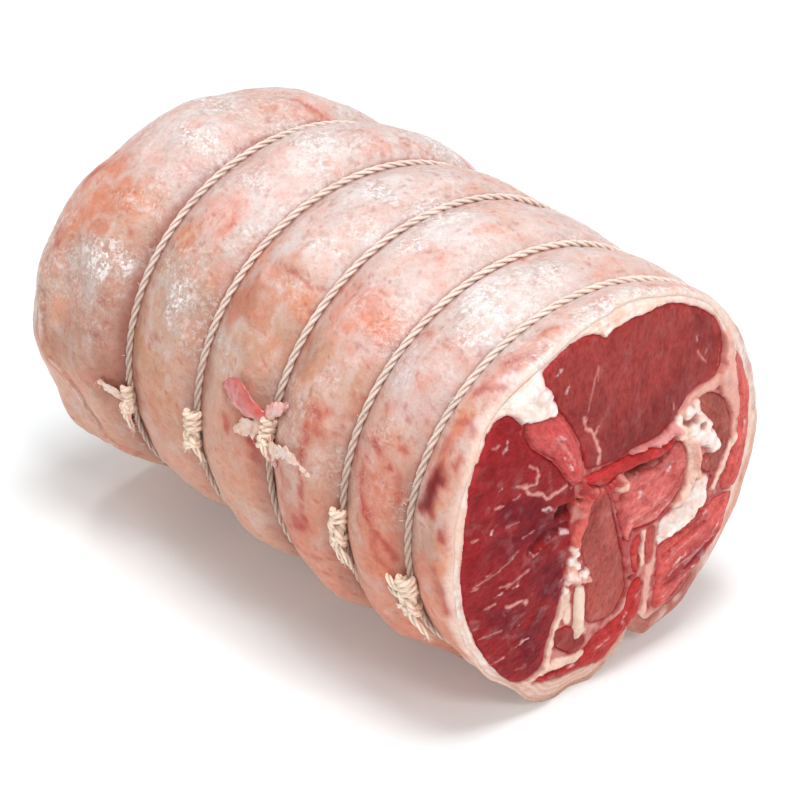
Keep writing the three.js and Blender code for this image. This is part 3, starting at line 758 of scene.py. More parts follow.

# Patches of the skin: along, degrees round, half length along, half length round, colour, strength.
# The white patches lie where the skin is wet and are painted highlights; the others are the skin's own
# colours
SKIN_PATCHES = [
    (-108, 88, 16, 8, SKIN_PINK, 0.6), (-92, 82, 10, 8, SKIN_SALMON, 0.6),
    (-104, 110, 16, 10, SKIN_PALE, 0.7), (-113, 139, 18, 12, SKIN_ORANGE, 0.6),
    (-121, 141, 10, 15, SKIN_ORANGE, 0.6), (-98, 134, 9, 6, SKIN_ORANGE, 0.5),
    (-126, 120, 9, 9, SKIN_SALMON, 0.6), (-102, 154, 18, 10, SKIN_GREY, 0.95),
    (-94, 166, 15, 8, SKIN_BROWN, 0.55), (-104, 176, 18, 9, SKIN_BROWN, 0.65),
    (-93, 186, 12, 8, SKIN_BROWN, 0.7), (-66, 100, 12, 8, SKIN_WHITE_AND_SHEEN, 0.7),
    (-69, 127, 9, 8, SKIN_SALMON, 0.7), (-75, 138, 8, 5, SKIN_ORANGE, 0.8),
    (-65, 150, 12, 9, SKIN_GREY, 0.85), (-82, 171, 5, 7, SKIN_YELLOW, 0.8),
    (-73, 172, 9, 5, SKIN_YELLOW, 0.6), (-68, 182, 14, 11, SKIN_YELLOW, 0.6),
    (-36, 99, 12, 8, SKIN_WHITE_AND_SHEEN, 0.8), (-28, 114, 12, 6, SKIN_PALE, 0.6),
    (-49, 130, 5, 5, SKIN_ORANGE, 0.6), (-38, 128, 6, 4, SKIN_WHITE_AND_SHEEN, 0.6),
    (-25, 125, 8, 3.5, SKIN_WHITE_AND_SHEEN, 0.7), (-24, 136, 10, 7, SKIN_ORANGE, 0.65),
    (-43, 142, 10, 9, SKIN_BROWN, 0.85), (-26, 151, 11, 7, SKIN_TAN, 0.7),
    (-25, 172, 7, 6, SKIN_DEEP, 0.55), (-21, 183, 8, 9, SKIN_DEEP, 0.65), (-36, 176, 7, 9, SKIN_TAN, 0.5),
    (0, 131, 15, 10, SKIN_SALMON, 0.7), (3, 150, 14, 9, SKIN_TAN, 0.85),
    (-10, 148, 5, 9, SKIN_BROWN, 0.65), (0, 162, 13, 6, SKIN_BROWN, 0.5),
    (-42, 140, 15, 14, SKIN_DEEP, 0.38), (-115, 140, 20, 18, SKIN_DEEP, 0.4),
    (-68, 181, 15, 13, SKIN_DEEP, 0.34), (-104, 96, 16, 9, SKIN_PINK, 0.5),
    (32, 144, 12, 10, SKIN_PINK, 0.35), (5, 145, 5, 3, SKIN_PALE, 0.35),
    (-13, 186, 5, 11, SKIN_DEEP, 0.7), (-2, 190, 9, 11, SKIN_DEEP, 0.6), (10, 184, 7, 8, SKIN_TAN, 0.4),
    (22, 134, 9, 8, SKIN_LILAC, 0.8), (34, 142, 10, 9, SKIN_LILAC, 0.8),
    (30, 108, 14, 14, SKIN_WHITE_AND_SHEEN, 0.95), (24, 164, 8, 8, SKIN_DEEP, 0.6),
    (33, 170, 10, 12, SKIN_DEEP, 0.75), (36, 187, 9, 11, SKIN_DEEP, 0.9),
    (41, 166, 4, 10, SKIN_BROWN, 0.5), (51, 149, 6, 9, SKIN_DEEP, 0.5), (51, 139, 6, 8, SKIN_ORANGE, 0.8),
    (52, 130, 6, 7, SKIN_SALMON, 0.75), (54, 119, 6, 7, SKIN_SALMON, 0.5),
    (56, 103, 6, 12, SKIN_WHITE_AND_SHEEN, 0.7), (57, 84, 6, 12, SKIN_WHITE_AND_SHEEN, 0.7),
    (55, 67, 6, 8, SKIN_SALMON, 0.35), (59, 178, 5, 8, SKIN_ORANGE, 0.85),
    (54, 174, 4, 12, SKIN_BROWN, 0.5), (61, 187, 4, 5, SKIN_PALE, 0.5), (60, 201, 5, 10, SKIN_DEEP, 0.7),
    (52, 190, 6, 10, SKIN_SALMON, 0.6), (-4, 98, 12, 9, SKIN_WHITE_AND_SHEEN, 0.75),
    (-110, 60, 20, 14, SKIN_PINK, 0.5), (-60, 34, 16, 18, SKIN_SALMON, 0.5),
    (20, 40, 14, 14, SKIN_SALMON, 0.5), (-20, 12, 16, 14, SKIN_GREY, 0.7),
    (-110, -10, 20, 18, SKIN_GREY, 0.7), (-70, -8, 12, 16, SKIN_TAN, 0.7),
    (30, 4, 12, 16, SKIN_ORANGE, 0.5), (-30, 52, 12, 10, SKIN_ORANGE, 0.5),
    (-100, 34, 14, 9, SKIN_ORANGE, 0.5), (0, 62, 14, 8, SKIN_LILAC, 0.5),
    (-2, -30, 14, 14, SKIN_DEEP, 0.6), (-128, 210, 14, 20, SKIN_TAN, 0.6),
    (40, 60, 8, 10, SKIN_LILAC, 0.4), (-85, 60, 6, 12, SKIN_SALMON, 0.4), (-80, 180, 9, 8, SKIN_TAN, 0.8),
    (-75, 188, 10, 8, SKIN_DEEP, 0.4), (53, 112, 3.5, 4, SKIN_ORANGE, 0.6),
    (52, 94, 3, 5, SKIN_SALMON, 0.6), (57, 128, 4, 4, SKIN_WHITE_AND_SHEEN, 0.9), (53, 124, 3, 3, SKIN_RED, 0.35),
    (52, 145, 4, 5, SKIN_SALMON, 0.7), (56, 141, 3, 4, SKIN_WHITE_AND_SHEEN, 0.7),
    (55, 162, 4, 5, SKIN_ORANGE, 0.7), (52, 80, 3, 5, SKIN_SALMON, 0.6), (58, 168, 3, 4, SKIN_PALE, 0.6),
    (56, 194, 5, 5, SKIN_ORANGE, 0.6), (50, 182, 4, 6, SKIN_DEEP, 0.6),
]
# Wet wrinkled places of the skin, also painted whiter as painted sheen: along, degrees round, half length
# along, half length round, wetness
SHEENS = [
    (-100, 112, 14, 6, 1), (-99, 151, 12, 9, 1), (-110, 157, 8, 5, 0.6), (-72, 96, 15, 8, 1),
    (-88, 92, 7, 7, 0.7), (-70, 114, 13, 6, 0.75), (-65, 152, 9, 9, 1), (-36, 99, 14, 6, 1),
    (-24, 112, 10, 5, 0.7), (-26, 121, 9, 3, 0.8), (-13, 96, 14, 9, 1), (-7, 110, 10, 5, 0.85),
    (3, 148, 7, 5, 0.6), (27, 112, 13, 10, 1), (-108, 100, 16, 8, 0.9), (24, 140, 8, 8, 0.6),
    (34, 122, 9, 5, 0.9), (30, 96, 13, 9, 0.95), (55, 98, 7, 13, 0.95), (56, 80, 7, 12, 0.9),
    (56, 118, 5, 9, 0.8), (56, 66, 5, 8, 0.8), (-60, 60, 12, 10, 0.9), (-10, 50, 14, 8, 0.9),
    (-110, 60, 12, 10, 0.9), (30, 50, 10, 10, 0.9), (-92, 22, 12, 10, 0.8), (10, 15, 12, 10, 0.8),
    (-40, 24, 12, 9, 0.7), (55, 30, 6, 12, 0.8),
]
# Red streaks of the skin: half width, strength, then places
SKIN_STREAKS = [
    (1.2, 0.75, [(25, 165), (28, 170), (32, 175), (36, 181), (38, 186)]),
    (0.8, 0.5, [(32, 175), (33, 184), (37, 190)]), (0.9, 0.7, [(4, 162), (4.5, 171), (4, 178), (4, 186)]),
    (1.8, 0.8, [(1, 188), (4, 189), (5, 186)]), (1.0, 0.7, [(-3, 192), (1, 190), (5, 189)]),
    (1.4, 0.55, [(-5, 195), (-3, 199)]), (0.9, 0.45, [(-6, 187), (-5, 180), (-6, 174)]),
    (1.5, 0.75, [(27, 157), (30, 158)]), (1.1, 0.7, [(33, 160)]), (1.1, 0.75, [(36.5, 155.5)]),
    (1.0, 0.7, [(24, 166)]), (0.8, 0.6, [(25, 161)]), (1.3, 0.6, [(3, 157), (6, 158)]),
    (1.2, 0.6, [(6, 161), (8, 162)]), (0.9, 0.55, [(7, 156)]), (1.1, 0.8, [(-28, 164.5)]),
    (1.6, 0.6, [(-33, 173), (-31, 175)]), (1.4, 0.75, [(-25, 172), (-22, 177), (-20, 181)]),
    (1.2, 0.4, [(-27, 168), (-26, 172)]), (0.8, 0.6, [(20, 162)]), (1.3, 0.5, [(37, 162), (39, 166)]),
    (1.3, 0.85, [(59, 169), (59.5, 172)]), (1.4, 0.6, [(56, 181), (58, 187), (60, 194)]),
    (1.0, 0.6, [(-82, 177), (-81, 180)]), (1.2, 0.4, [(-37, 165), (-34, 168)]),
    (0.9, 0.6, [(56, 150), (57, 153)]),
    (0.35, 0.4, [(-37, 130.5), (-33, 131.8), (-30, 131.2), (-26, 130.8), (-22, 131.4), (-18, 130.6)]),
    (1.2, 0.5, [(-124, 128), (-125, 136)]), (1.1, 0.4, [(-100, 84), (-92, 80), (-88, 74)]),
    (1.6, 0.5, [(-124, 148), (-121, 154)]), (1.5, 0.5, [(50, 124), (53, 120), (56, 117)]),
    (1.2, 0.55, [(49, 134), (52, 131), (56, 130)]), (1.2, 0.5, [(49, 143), (53, 141), (57, 143)]),
    (1.0, 0.45, [(51, 112), (55, 108)]), (1.0, 0.4, [(52, 98), (57, 94)]),
    (1.3, 0.5, [(48, 152), (49, 148)]), (0.9, 0.4, [(51, 78), (56, 73), (58, 66)]),
    (0.8, 0.4, [(16, 128), (22, 127)]), (0.6, 0.5, [(-12, 196), (2, 199), (12, 198)]),
    (0.6, 0.35, [(-90, 108), (-84, 116)]), (1.4, 0.4, [(-60, 50), (-52, 44)]),
    (1.2, 0.4, [(10, 20), (14, 28)]), (1.6, 0.4, [(-120, 20), (-112, 26)]),
    (1.2, 0.35, [(-30, -20), (-24, -28)]), (1.5, 0.35, [(30, -30), (33, -40)]),
    (1.1, 0.5, [(50, 40), (54, 30), (52, 22)]),
]
BRUISE_LINE = [(51, 156), (50.5, 160), (50.5, 164.5)]
BRUISE_HALF_WIDTH = 3.0
SPECK_SIZE = 2.3
SKIN_WARP, SKIN_WARP_SIZE = 1.3, 5
VEIL_HEIGHTS = (-0.2, 0.6)
# Red marks where the twine presses, darkened as painted contact shadow
CONTACT_RED_AND_SHADE = shade(150, 80, 68)


# How the skin's tones change from its underside to its top, towards the flank and along the roll
TOP_LEVELS, TOP_STRENGTH, TOP_UNEVEN, TOP_SIZE = (0.5, 0.95), 0.85, 0.4, 22
FLANK_ANGLE, FLANK_HALF_ANGLE, FLANK_REACH, FLANK_STRENGTH = 152, 30, (-20, 30), 0.7
DIM_ANGLE, DIM_HALF_ANGLE, DIM_STRENGTH = 146, 26, 0.09
LOW_LEVELS, LOW_STRENGTH = (-0.45, 0.1), 0.85
LOW_FRONT_LEVELS, LOW_FRONT_REACH, LOW_FRONT_STRENGTH = (-0.25, 0.4), (-40, 30), 0.6
# Mottles of the skin: colour, strength, size, seed and octaves of a noise, its two levels and its sign
SKIN_MOTTLES = [
    (SKIN_SALMON, 0.4, 6, 25, 4, 0.1, 0.8, 1), (SKIN_PALE, 0.34, 6, 25, 4, 0.1, 0.8, -1),
    (SKIN_ORANGE, 0.3, 11, 31, 3, 0.25, 0.9, 1),
]
UNEVEN_TONE, UNEVEN_TONE_SIZE = 0.05, 3.4
VEIL_STRENGTH, VEIL_STRETCH, VEIL_SIZE, VEIL_SHARPNESS = 0.35, np.array([1, 0.8, 1]), 12, 4
THIN_STRENGTH, THIN_STRETCH, THIN_SIZE, THIN_SHARPNESS = 0.35, np.array([1, 0.7, 1]), 7, 9
THIN_PATCH_SIZE, THIN_PATCH_LEVELS = 19, (0, 0.5)
PORE_STRENGTH, PORE_SIZE, PORE_LEVELS = 0.5, 1.5, (0.75, 1.1)
PORE_PATCH_SIZE, PORE_PATCH_LEVELS = 15, (-0.2, 0.5)
SPECK_STRENGTH, SPECK_LEVELS = 0.5, (0.7, 1.05)
PATCH_EDGE, PATCH_RAGGED, PATCH_RAGGED_SIZE, PATCH_FINE, PATCH_FINE_SIZE = (0.5, 1.15), 0.3, 7, 0.14, 1.8
# The edge and raggedness of the wet places, and how much whiter they are painted as painted sheen
SHEEN_EDGE, SHEEN_RAGGED, SHEEN_RAGGED_SIZE, PAINTED_SHEEN_WHITE = (0.3, 1.15), 0.3, 6, 0.25
# Around a streak and the bruise: how far their colours reach, as shares of the half width
STREAK_RAGGED, STREAK_RAGGED_SIZE = 0.7, 2.2
STREAK_HALO, STREAK_HALO_REACH, STREAK_REACH = 0.6, (1, 3.5), (0.3, 1.4)
BRUISE_RAGGED, BRUISE_REACH, BRUISE_STRENGTH = 1.5, (0.2, 1.25), 0.97
BRUISE_HALO_REACH, BRUISE_HALO = (0.8, 1.9), 0.8
# Beside the twine, in millimetres for a span of the usual length: red marks with painted contact shadow, and
# painted shade in the valley
SPAN = 30
CONTACT_REACH, CONTACT_STRENGTH = (1.0, 2.6), 0.75
VALLEY_REACH, VALLEY_STRENGTH, VALLEY_TOP, VALLEY_LEVELS = (1.5, 8), 0.5, 0.3, (-0.8, 0)
FLAP_WHITE, FLAP_WHITE_REACH = 0.6, (0.2, 0.9)
# Painted shade in the groove beside the flap's edge: strength, place and reach
FLAP_SHADE, FLAP_SHADE_PLACE, FLAP_SHADE_REACH = 0.35, 1.4, (0.1, 0.6)
# The rim round the cut face: where its tones lie and how far they reach
RIM_TAN_PLACE, RIM_MEAT_PLACE, RIM_PINK_PLACE = (-104, 46), (-64, 34), (188, 60)
RIM_MEAT_STRENGTH, RIM_PINK_STRENGTH, RIM_STRENGTH, RIM_MEAT_REACH, RIM_FADE = 1.4, 0.75, 0.9, 8, (0.3, 2.4)
DULL_WET, SHINY_WET, SHINY_SIZE, SHINY_LEVELS, SHINY_HEIGHTS = 0.1, 0.45, 14, (-0.35, 0.5), (-0.35, 0.5)
BRUISE_DRYNESS = 0.9


def plain_skin(points, angle, upward):
    """The tones that change slowly over the whole skin"""
    count = len(points)
    colour = painted(count, SKIN_PINK)
    top = smooth(upward, *TOP_LEVELS) * (TOP_STRENGTH + TOP_UNEVEN * noise(points, TOP_SIZE, 23, 2))
    colour = blended(colour, SKIN_PALE, top)
    flank = nearness(angle, FLANK_ANGLE, FLANK_HALF_ANGLE) * smooth(-points[:, 0], *FLANK_REACH)
    colour = blended(colour, SKIN_BEIGE, flank * FLANK_STRENGTH)
    colour = colour * (1 - DIM_STRENGTH * nearness(angle, DIM_ANGLE, DIM_HALF_ANGLE))[:, None]
    colour = blended(colour, SKIN_TAN, smooth(-upward, *LOW_LEVELS) * LOW_STRENGTH)
    low_front = smooth(-upward, *LOW_FRONT_LEVELS) * smooth(points[:, 0], *LOW_FRONT_REACH)
    return blended(colour, SKIN_DEEP, low_front * LOW_FRONT_STRENGTH)


def patch_distance(where, x, degrees, half_along, half_round):
    """The distance from the middle of a patch of skin, 1 at its edge"""
    apart = degrees_apart(where[:, 1] / DEGREE_LENGTH, degrees)
    return np.hypot((where[:, 0] - x) / half_along, apart / half_round)


def with_patches(colour, points, where):
    ragged = PATCH_RAGGED * noise(points, PATCH_RAGGED_SIZE, 24, 3)
    ragged = ragged + PATCH_FINE * noise(points, PATCH_FINE_SIZE, 36, 2)
    for *patch, tone, strength in SKIN_PATCHES:
        far = patch_distance(where, *patch) + ragged
        colour = blended(colour, tone, strength * (1 - smooth(far, *PATCH_EDGE)))
    return colour


def with_mottles(colour, points, upward):
    for tone, strength, size, seed, octaves, low, high, sign in SKIN_MOTTLES:
        shown = smooth(sign * noise(points, size, seed, octaves), low, high)
        colour = blended(colour, tone, strength * shown)
    colour = colour * (1 + UNEVEN_TONE * noise(points, UNEVEN_TONE_SIZE, 35, 3))[:, None]
    veil = VEIL_STRENGTH * crest_lines(points, VEIL_STRETCH, VEIL_SIZE, 26, 3, VEIL_SHARPNESS)
    colour = blended(colour, SKIN_WHITE_AND_SHEEN, veil * smooth(upward, *VEIL_HEIGHTS))
    thin = crest_lines(points, THIN_STRETCH, THIN_SIZE, 37, 3, THIN_SHARPNESS)
    thin = thin * smooth(noise(points, THIN_PATCH_SIZE, 38), *THIN_PATCH_LEVELS)
    colour = blended(colour, SKIN_DEEP, THIN_STRENGTH * thin)
    pores = smooth(noise(points, PORE_SIZE, 39, 1), *PORE_LEVELS)
    pores = pores * smooth(noise(points, PORE_PATCH_SIZE, 40), *PORE_PATCH_LEVELS)
    colour = blended(colour, SKIN_BROWN, PORE_STRENGTH * pores)
    return blended(colour, SKIN_RED, SPECK_STRENGTH * smooth(noise(points, SPECK_SIZE, 27, 2), *SPECK_LEVELS))


def line_share(gap, half_width, reaches):
    """A share that is 1 inside the first reach of a line and 0 beyond the second"""
    return 1 - smooth(gap, half_width * reaches[0], half_width * reaches[1])


def with_streaks(colour, points, where):
    ragged = STREAK_RAGGED * noise(points, STREAK_RAGGED_SIZE, 28, 2)
    for half_width, strength, line in SKIN_STREAKS:
        gap = reach(where, along_skin(line)) + ragged
        halo = STREAK_HALO * strength
        colour = blended(colour, SKIN_DEEP, halo * line_share(gap, half_width, STREAK_HALO_REACH))
        colour = blended(colour, SKIN_RED, strength * line_share(gap, half_width, STREAK_REACH))
    return colour


def with_bruise(colour, points, where):
    """The colour with the bruise, and how much of each point it covers"""
    gap = reach(where, along_skin(BRUISE_LINE)) + BRUISE_RAGGED * noise(points, 3, 29, 3)
    bruised = line_share(gap, BRUISE_HALF_WIDTH, BRUISE_REACH)
    colour = blended(colour, SKIN_RED, BRUISE_HALO * line_share(gap, BRUISE_HALF_WIDTH, BRUISE_HALO_REACH))
    return blended(colour, BRUISE, BRUISE_STRENGTH * bruised), bruised


def with_twine_marks_and_shade(colour, place, upward):
    """The colour, redder where the twine presses, with painted contact shadow there, and painted shade in the
    valley beside it, strongest on the underside
    """
    loop = np.round(place)
    nearest = np.abs(place - loop) * SPAN
    beside = (loop >= 1) & (loop <= LAST_LOOP)
    touched_and_shaded = beside * CONTACT_STRENGTH * (1 - smooth(nearest, *CONTACT_REACH))
    colour = blended(colour, CONTACT_RED_AND_SHADE, touched_and_shaded)
    lower = VALLEY_TOP + (1 - VALLEY_TOP) * smooth(-upward, *VALLEY_LEVELS)
    valley_shade = beside * (1 - smooth(nearest, *VALLEY_REACH)) * lower
    return blended(colour, PAINTED_VALLEY_SHADE, VALLEY_STRENGTH * valley_shade)


def with_flap(colour, points, where):
    gap = flap_gap(points, where)
    colour = blended(colour, SKIN_WHITE_AND_SHEEN, FLAP_WHITE * (1 - smooth(gap, *FLAP_WHITE_REACH)))
    # Painted shade in the groove beside the flap's edge
    groove = 1 - smooth(np.abs(gap - FLAP_SHADE_PLACE), *FLAP_SHADE_REACH)
    return blended(colour, PAINTED_VALLEY_SHADE, FLAP_SHADE * groove)


def with_rim(colour, points, angle, rim_distance):
    """The colour with the rim of cut fat round the face"""
    tone = blended(painted(len(points), RIM_CREAM), RIM_TAN, nearness(angle, *RIM_TAN_PLACE))
    meat = nearness(angle, *RIM_MEAT_PLACE)
    tone = blended(tone, RIM_MEAT, RIM_MEAT_STRENGTH * meat * (0.8 + 0.6 * noise(points, 5, 33, 2)))
    pink = RIM_PINK_STRENGTH * nearness(angle, *RIM_PINK_PLACE)
    tone = blended(tone, SKIN_PINK, pink * (0.7 + 0.8 * noise(points, 6, 41, 2)))
    distance = rim_distance - RIM_MEAT_REACH * meat + noise(points, 5, 32, 2)
    return blended(colour, tone, RIM_STRENGTH * (1 - smooth(distance, *RIM_FADE)))


def skin_paint(points, place, angle, rim_distance):
    """The colour and wetness of the skin"""
    where = np.stack([points[:, 0], angle % 360 * DEGREE_LENGTH], axis=1)
    warp = np.stack([noise(points, SKIN_WARP_SIZE, seed, 3) for seed in (21, 22)], axis=1)
    where = where + SKIN_WARP * warp
    upward = np.sin(np.radians(angle))
    colour = with_patches(plain_skin(points, angle, upward), points, where)
    colour = with_streaks(with_mottles(colour, points, upward), points, where)
    colour, bruised = with_bruise(colour, points, where)
    colour = with_flap(with_twine_marks_and_shade(colour, place, upward), points, where)
    colour = with_rim(colour, points, angle, rim_distance)
    sheen = np.zeros(len(points))
    ragged = SHEEN_RAGGED * noise(points, SHEEN_RAGGED_SIZE, 34, 3)
    for *patch, strength in SHEENS:
        far = patch_distance(where, *patch) + ragged
        sheen = np.maximum(sheen, strength * (1 - smooth(far, *SHEEN_EDGE)))
    # Painted sheen: the wet places are painted whiter
    colour = blended(colour, SKIN_WHITE_AND_SHEEN, PAINTED_SHEEN_WHITE * sheen)
    shiny = SHINY_WET * smooth(noise(points, SHINY_SIZE, 30, 3), *SHINY_LEVELS)
    wet = np.maximum(DULL_WET + shiny * smooth(upward, *SHINY_HEIGHTS), sheen)
    return colour, wet * (1 - BRUISE_DRYNESS * bruised)


AROUND = 440
LOOP_STEPS = [0, 0.5, 0.9, 1.2, 1.6, 2.1, 2.8]
BACK_STEPS, FRONT_STEPS = [0, 0.4, 1.0, 1.8], [0.35, 0.8, 1.5]
LAST_PLACE = FRONT - 1e-6
SIDE_WET = 0.3
SKIN_STEP = 1.08
# Rings past the two rims, inwards and down: how far towards the middle and how far below the rim
WRAP = [(0.5, 0.06), (1.1, 0.35), (1.6, 1.2), (2.0, 3.5)]
BACK_WRAP = [(0.8, -0.05), (1.6, -0.4), (2.2, -1.6), (2.6, -4)]


def skin_places():
    """Places of the rings along the roll, closer beside the loops"""
    places = []
    for ring in range(FRONT):
        length = RINGS[ring + 1, 0] - RINGS[ring, 0]
        start = LOOP_STEPS if ring > BACK else BACK_STEPS
        end = LOOP_STEPS[1:] if ring < LAST_LOOP else FRONT_STEPS
        low, high = start[-1], length - end[-1]
        middle = np.linspace(low, high, max(2, round((high - low) / SKIN_STEP)))[1:-1]
        steps = np.concatenate([start, middle, length - np.array(end[::-1])])
        places.append(ring + steps / length)
    return np.concatenate(places + [[LAST_PLACE]])


def inward(rim, distance, drop):
    """A ring moved from a rim towards the roll's middle line and down into the roll"""
    middle = np.array([0, rim[:, 1].mean(), rim[:, 2].mean()])
    toward = middle - rim
    toward[:, 0] = 0
    moved = rim + unit(toward) * distance
    moved[:, 0] = rim[:, 0] - drop
    return moved


def make_skin():
    angles = np.linspace(-180, 180, AROUND, endpoint=False)
    places = skin_places()
    whole_place = np.repeat(places, AROUND)
    whole_angle = np.tile(angles, len(places))
    points = skin_point(whole_place, whole_angle)
    rings = [points[index * AROUND:(index + 1) * AROUND] for index in range(len(places))]
    front_rim, back_rim = rings[-1], rings[0]
    rim_distance = np.concatenate([np.linalg.norm(ring - front_rim, axis=1) for ring in rings])
    colour, wet = skin_paint(points, whole_place, whole_angle, rim_distance)
    rings += [inward(front_rim, distance, drop) for distance, drop in WRAP]
    rings = [inward(back_rim, distance, drop) for distance, drop in BACK_WRAP[::-1]] + rings
    before, after = AROUND * len(BACK_WRAP), AROUND * len(WRAP)
    colour = np.vstack([painted(before, RIM_CREAM), colour, np.tile(colour[-AROUND:], (len(WRAP), 1))])
    wet = np.concatenate([np.full(before, SIDE_WET), wet, np.full(after, SIDE_WET)])
    faces = stacked_faces(len(rings), AROUND)
    new_piece("fat_skin", np.vstack(rings), faces, SKIN_MATERIAL, colour, wet, replaced=["fat_cover"])
    return front_rim, back_rim


# Muscles at the cut face
# Painted shade in the folds of the cut face
FOLD_PAINTED_SHADE = shade(112, 28, 40) * 0.2
MEAT_BRIGHT = shade(196, 54, 62)
VEIN = shade(226, 160, 152)
# Painted highlight on the wet ridges
PAINTED_GLINT_PINK = shade(240, 212, 212)

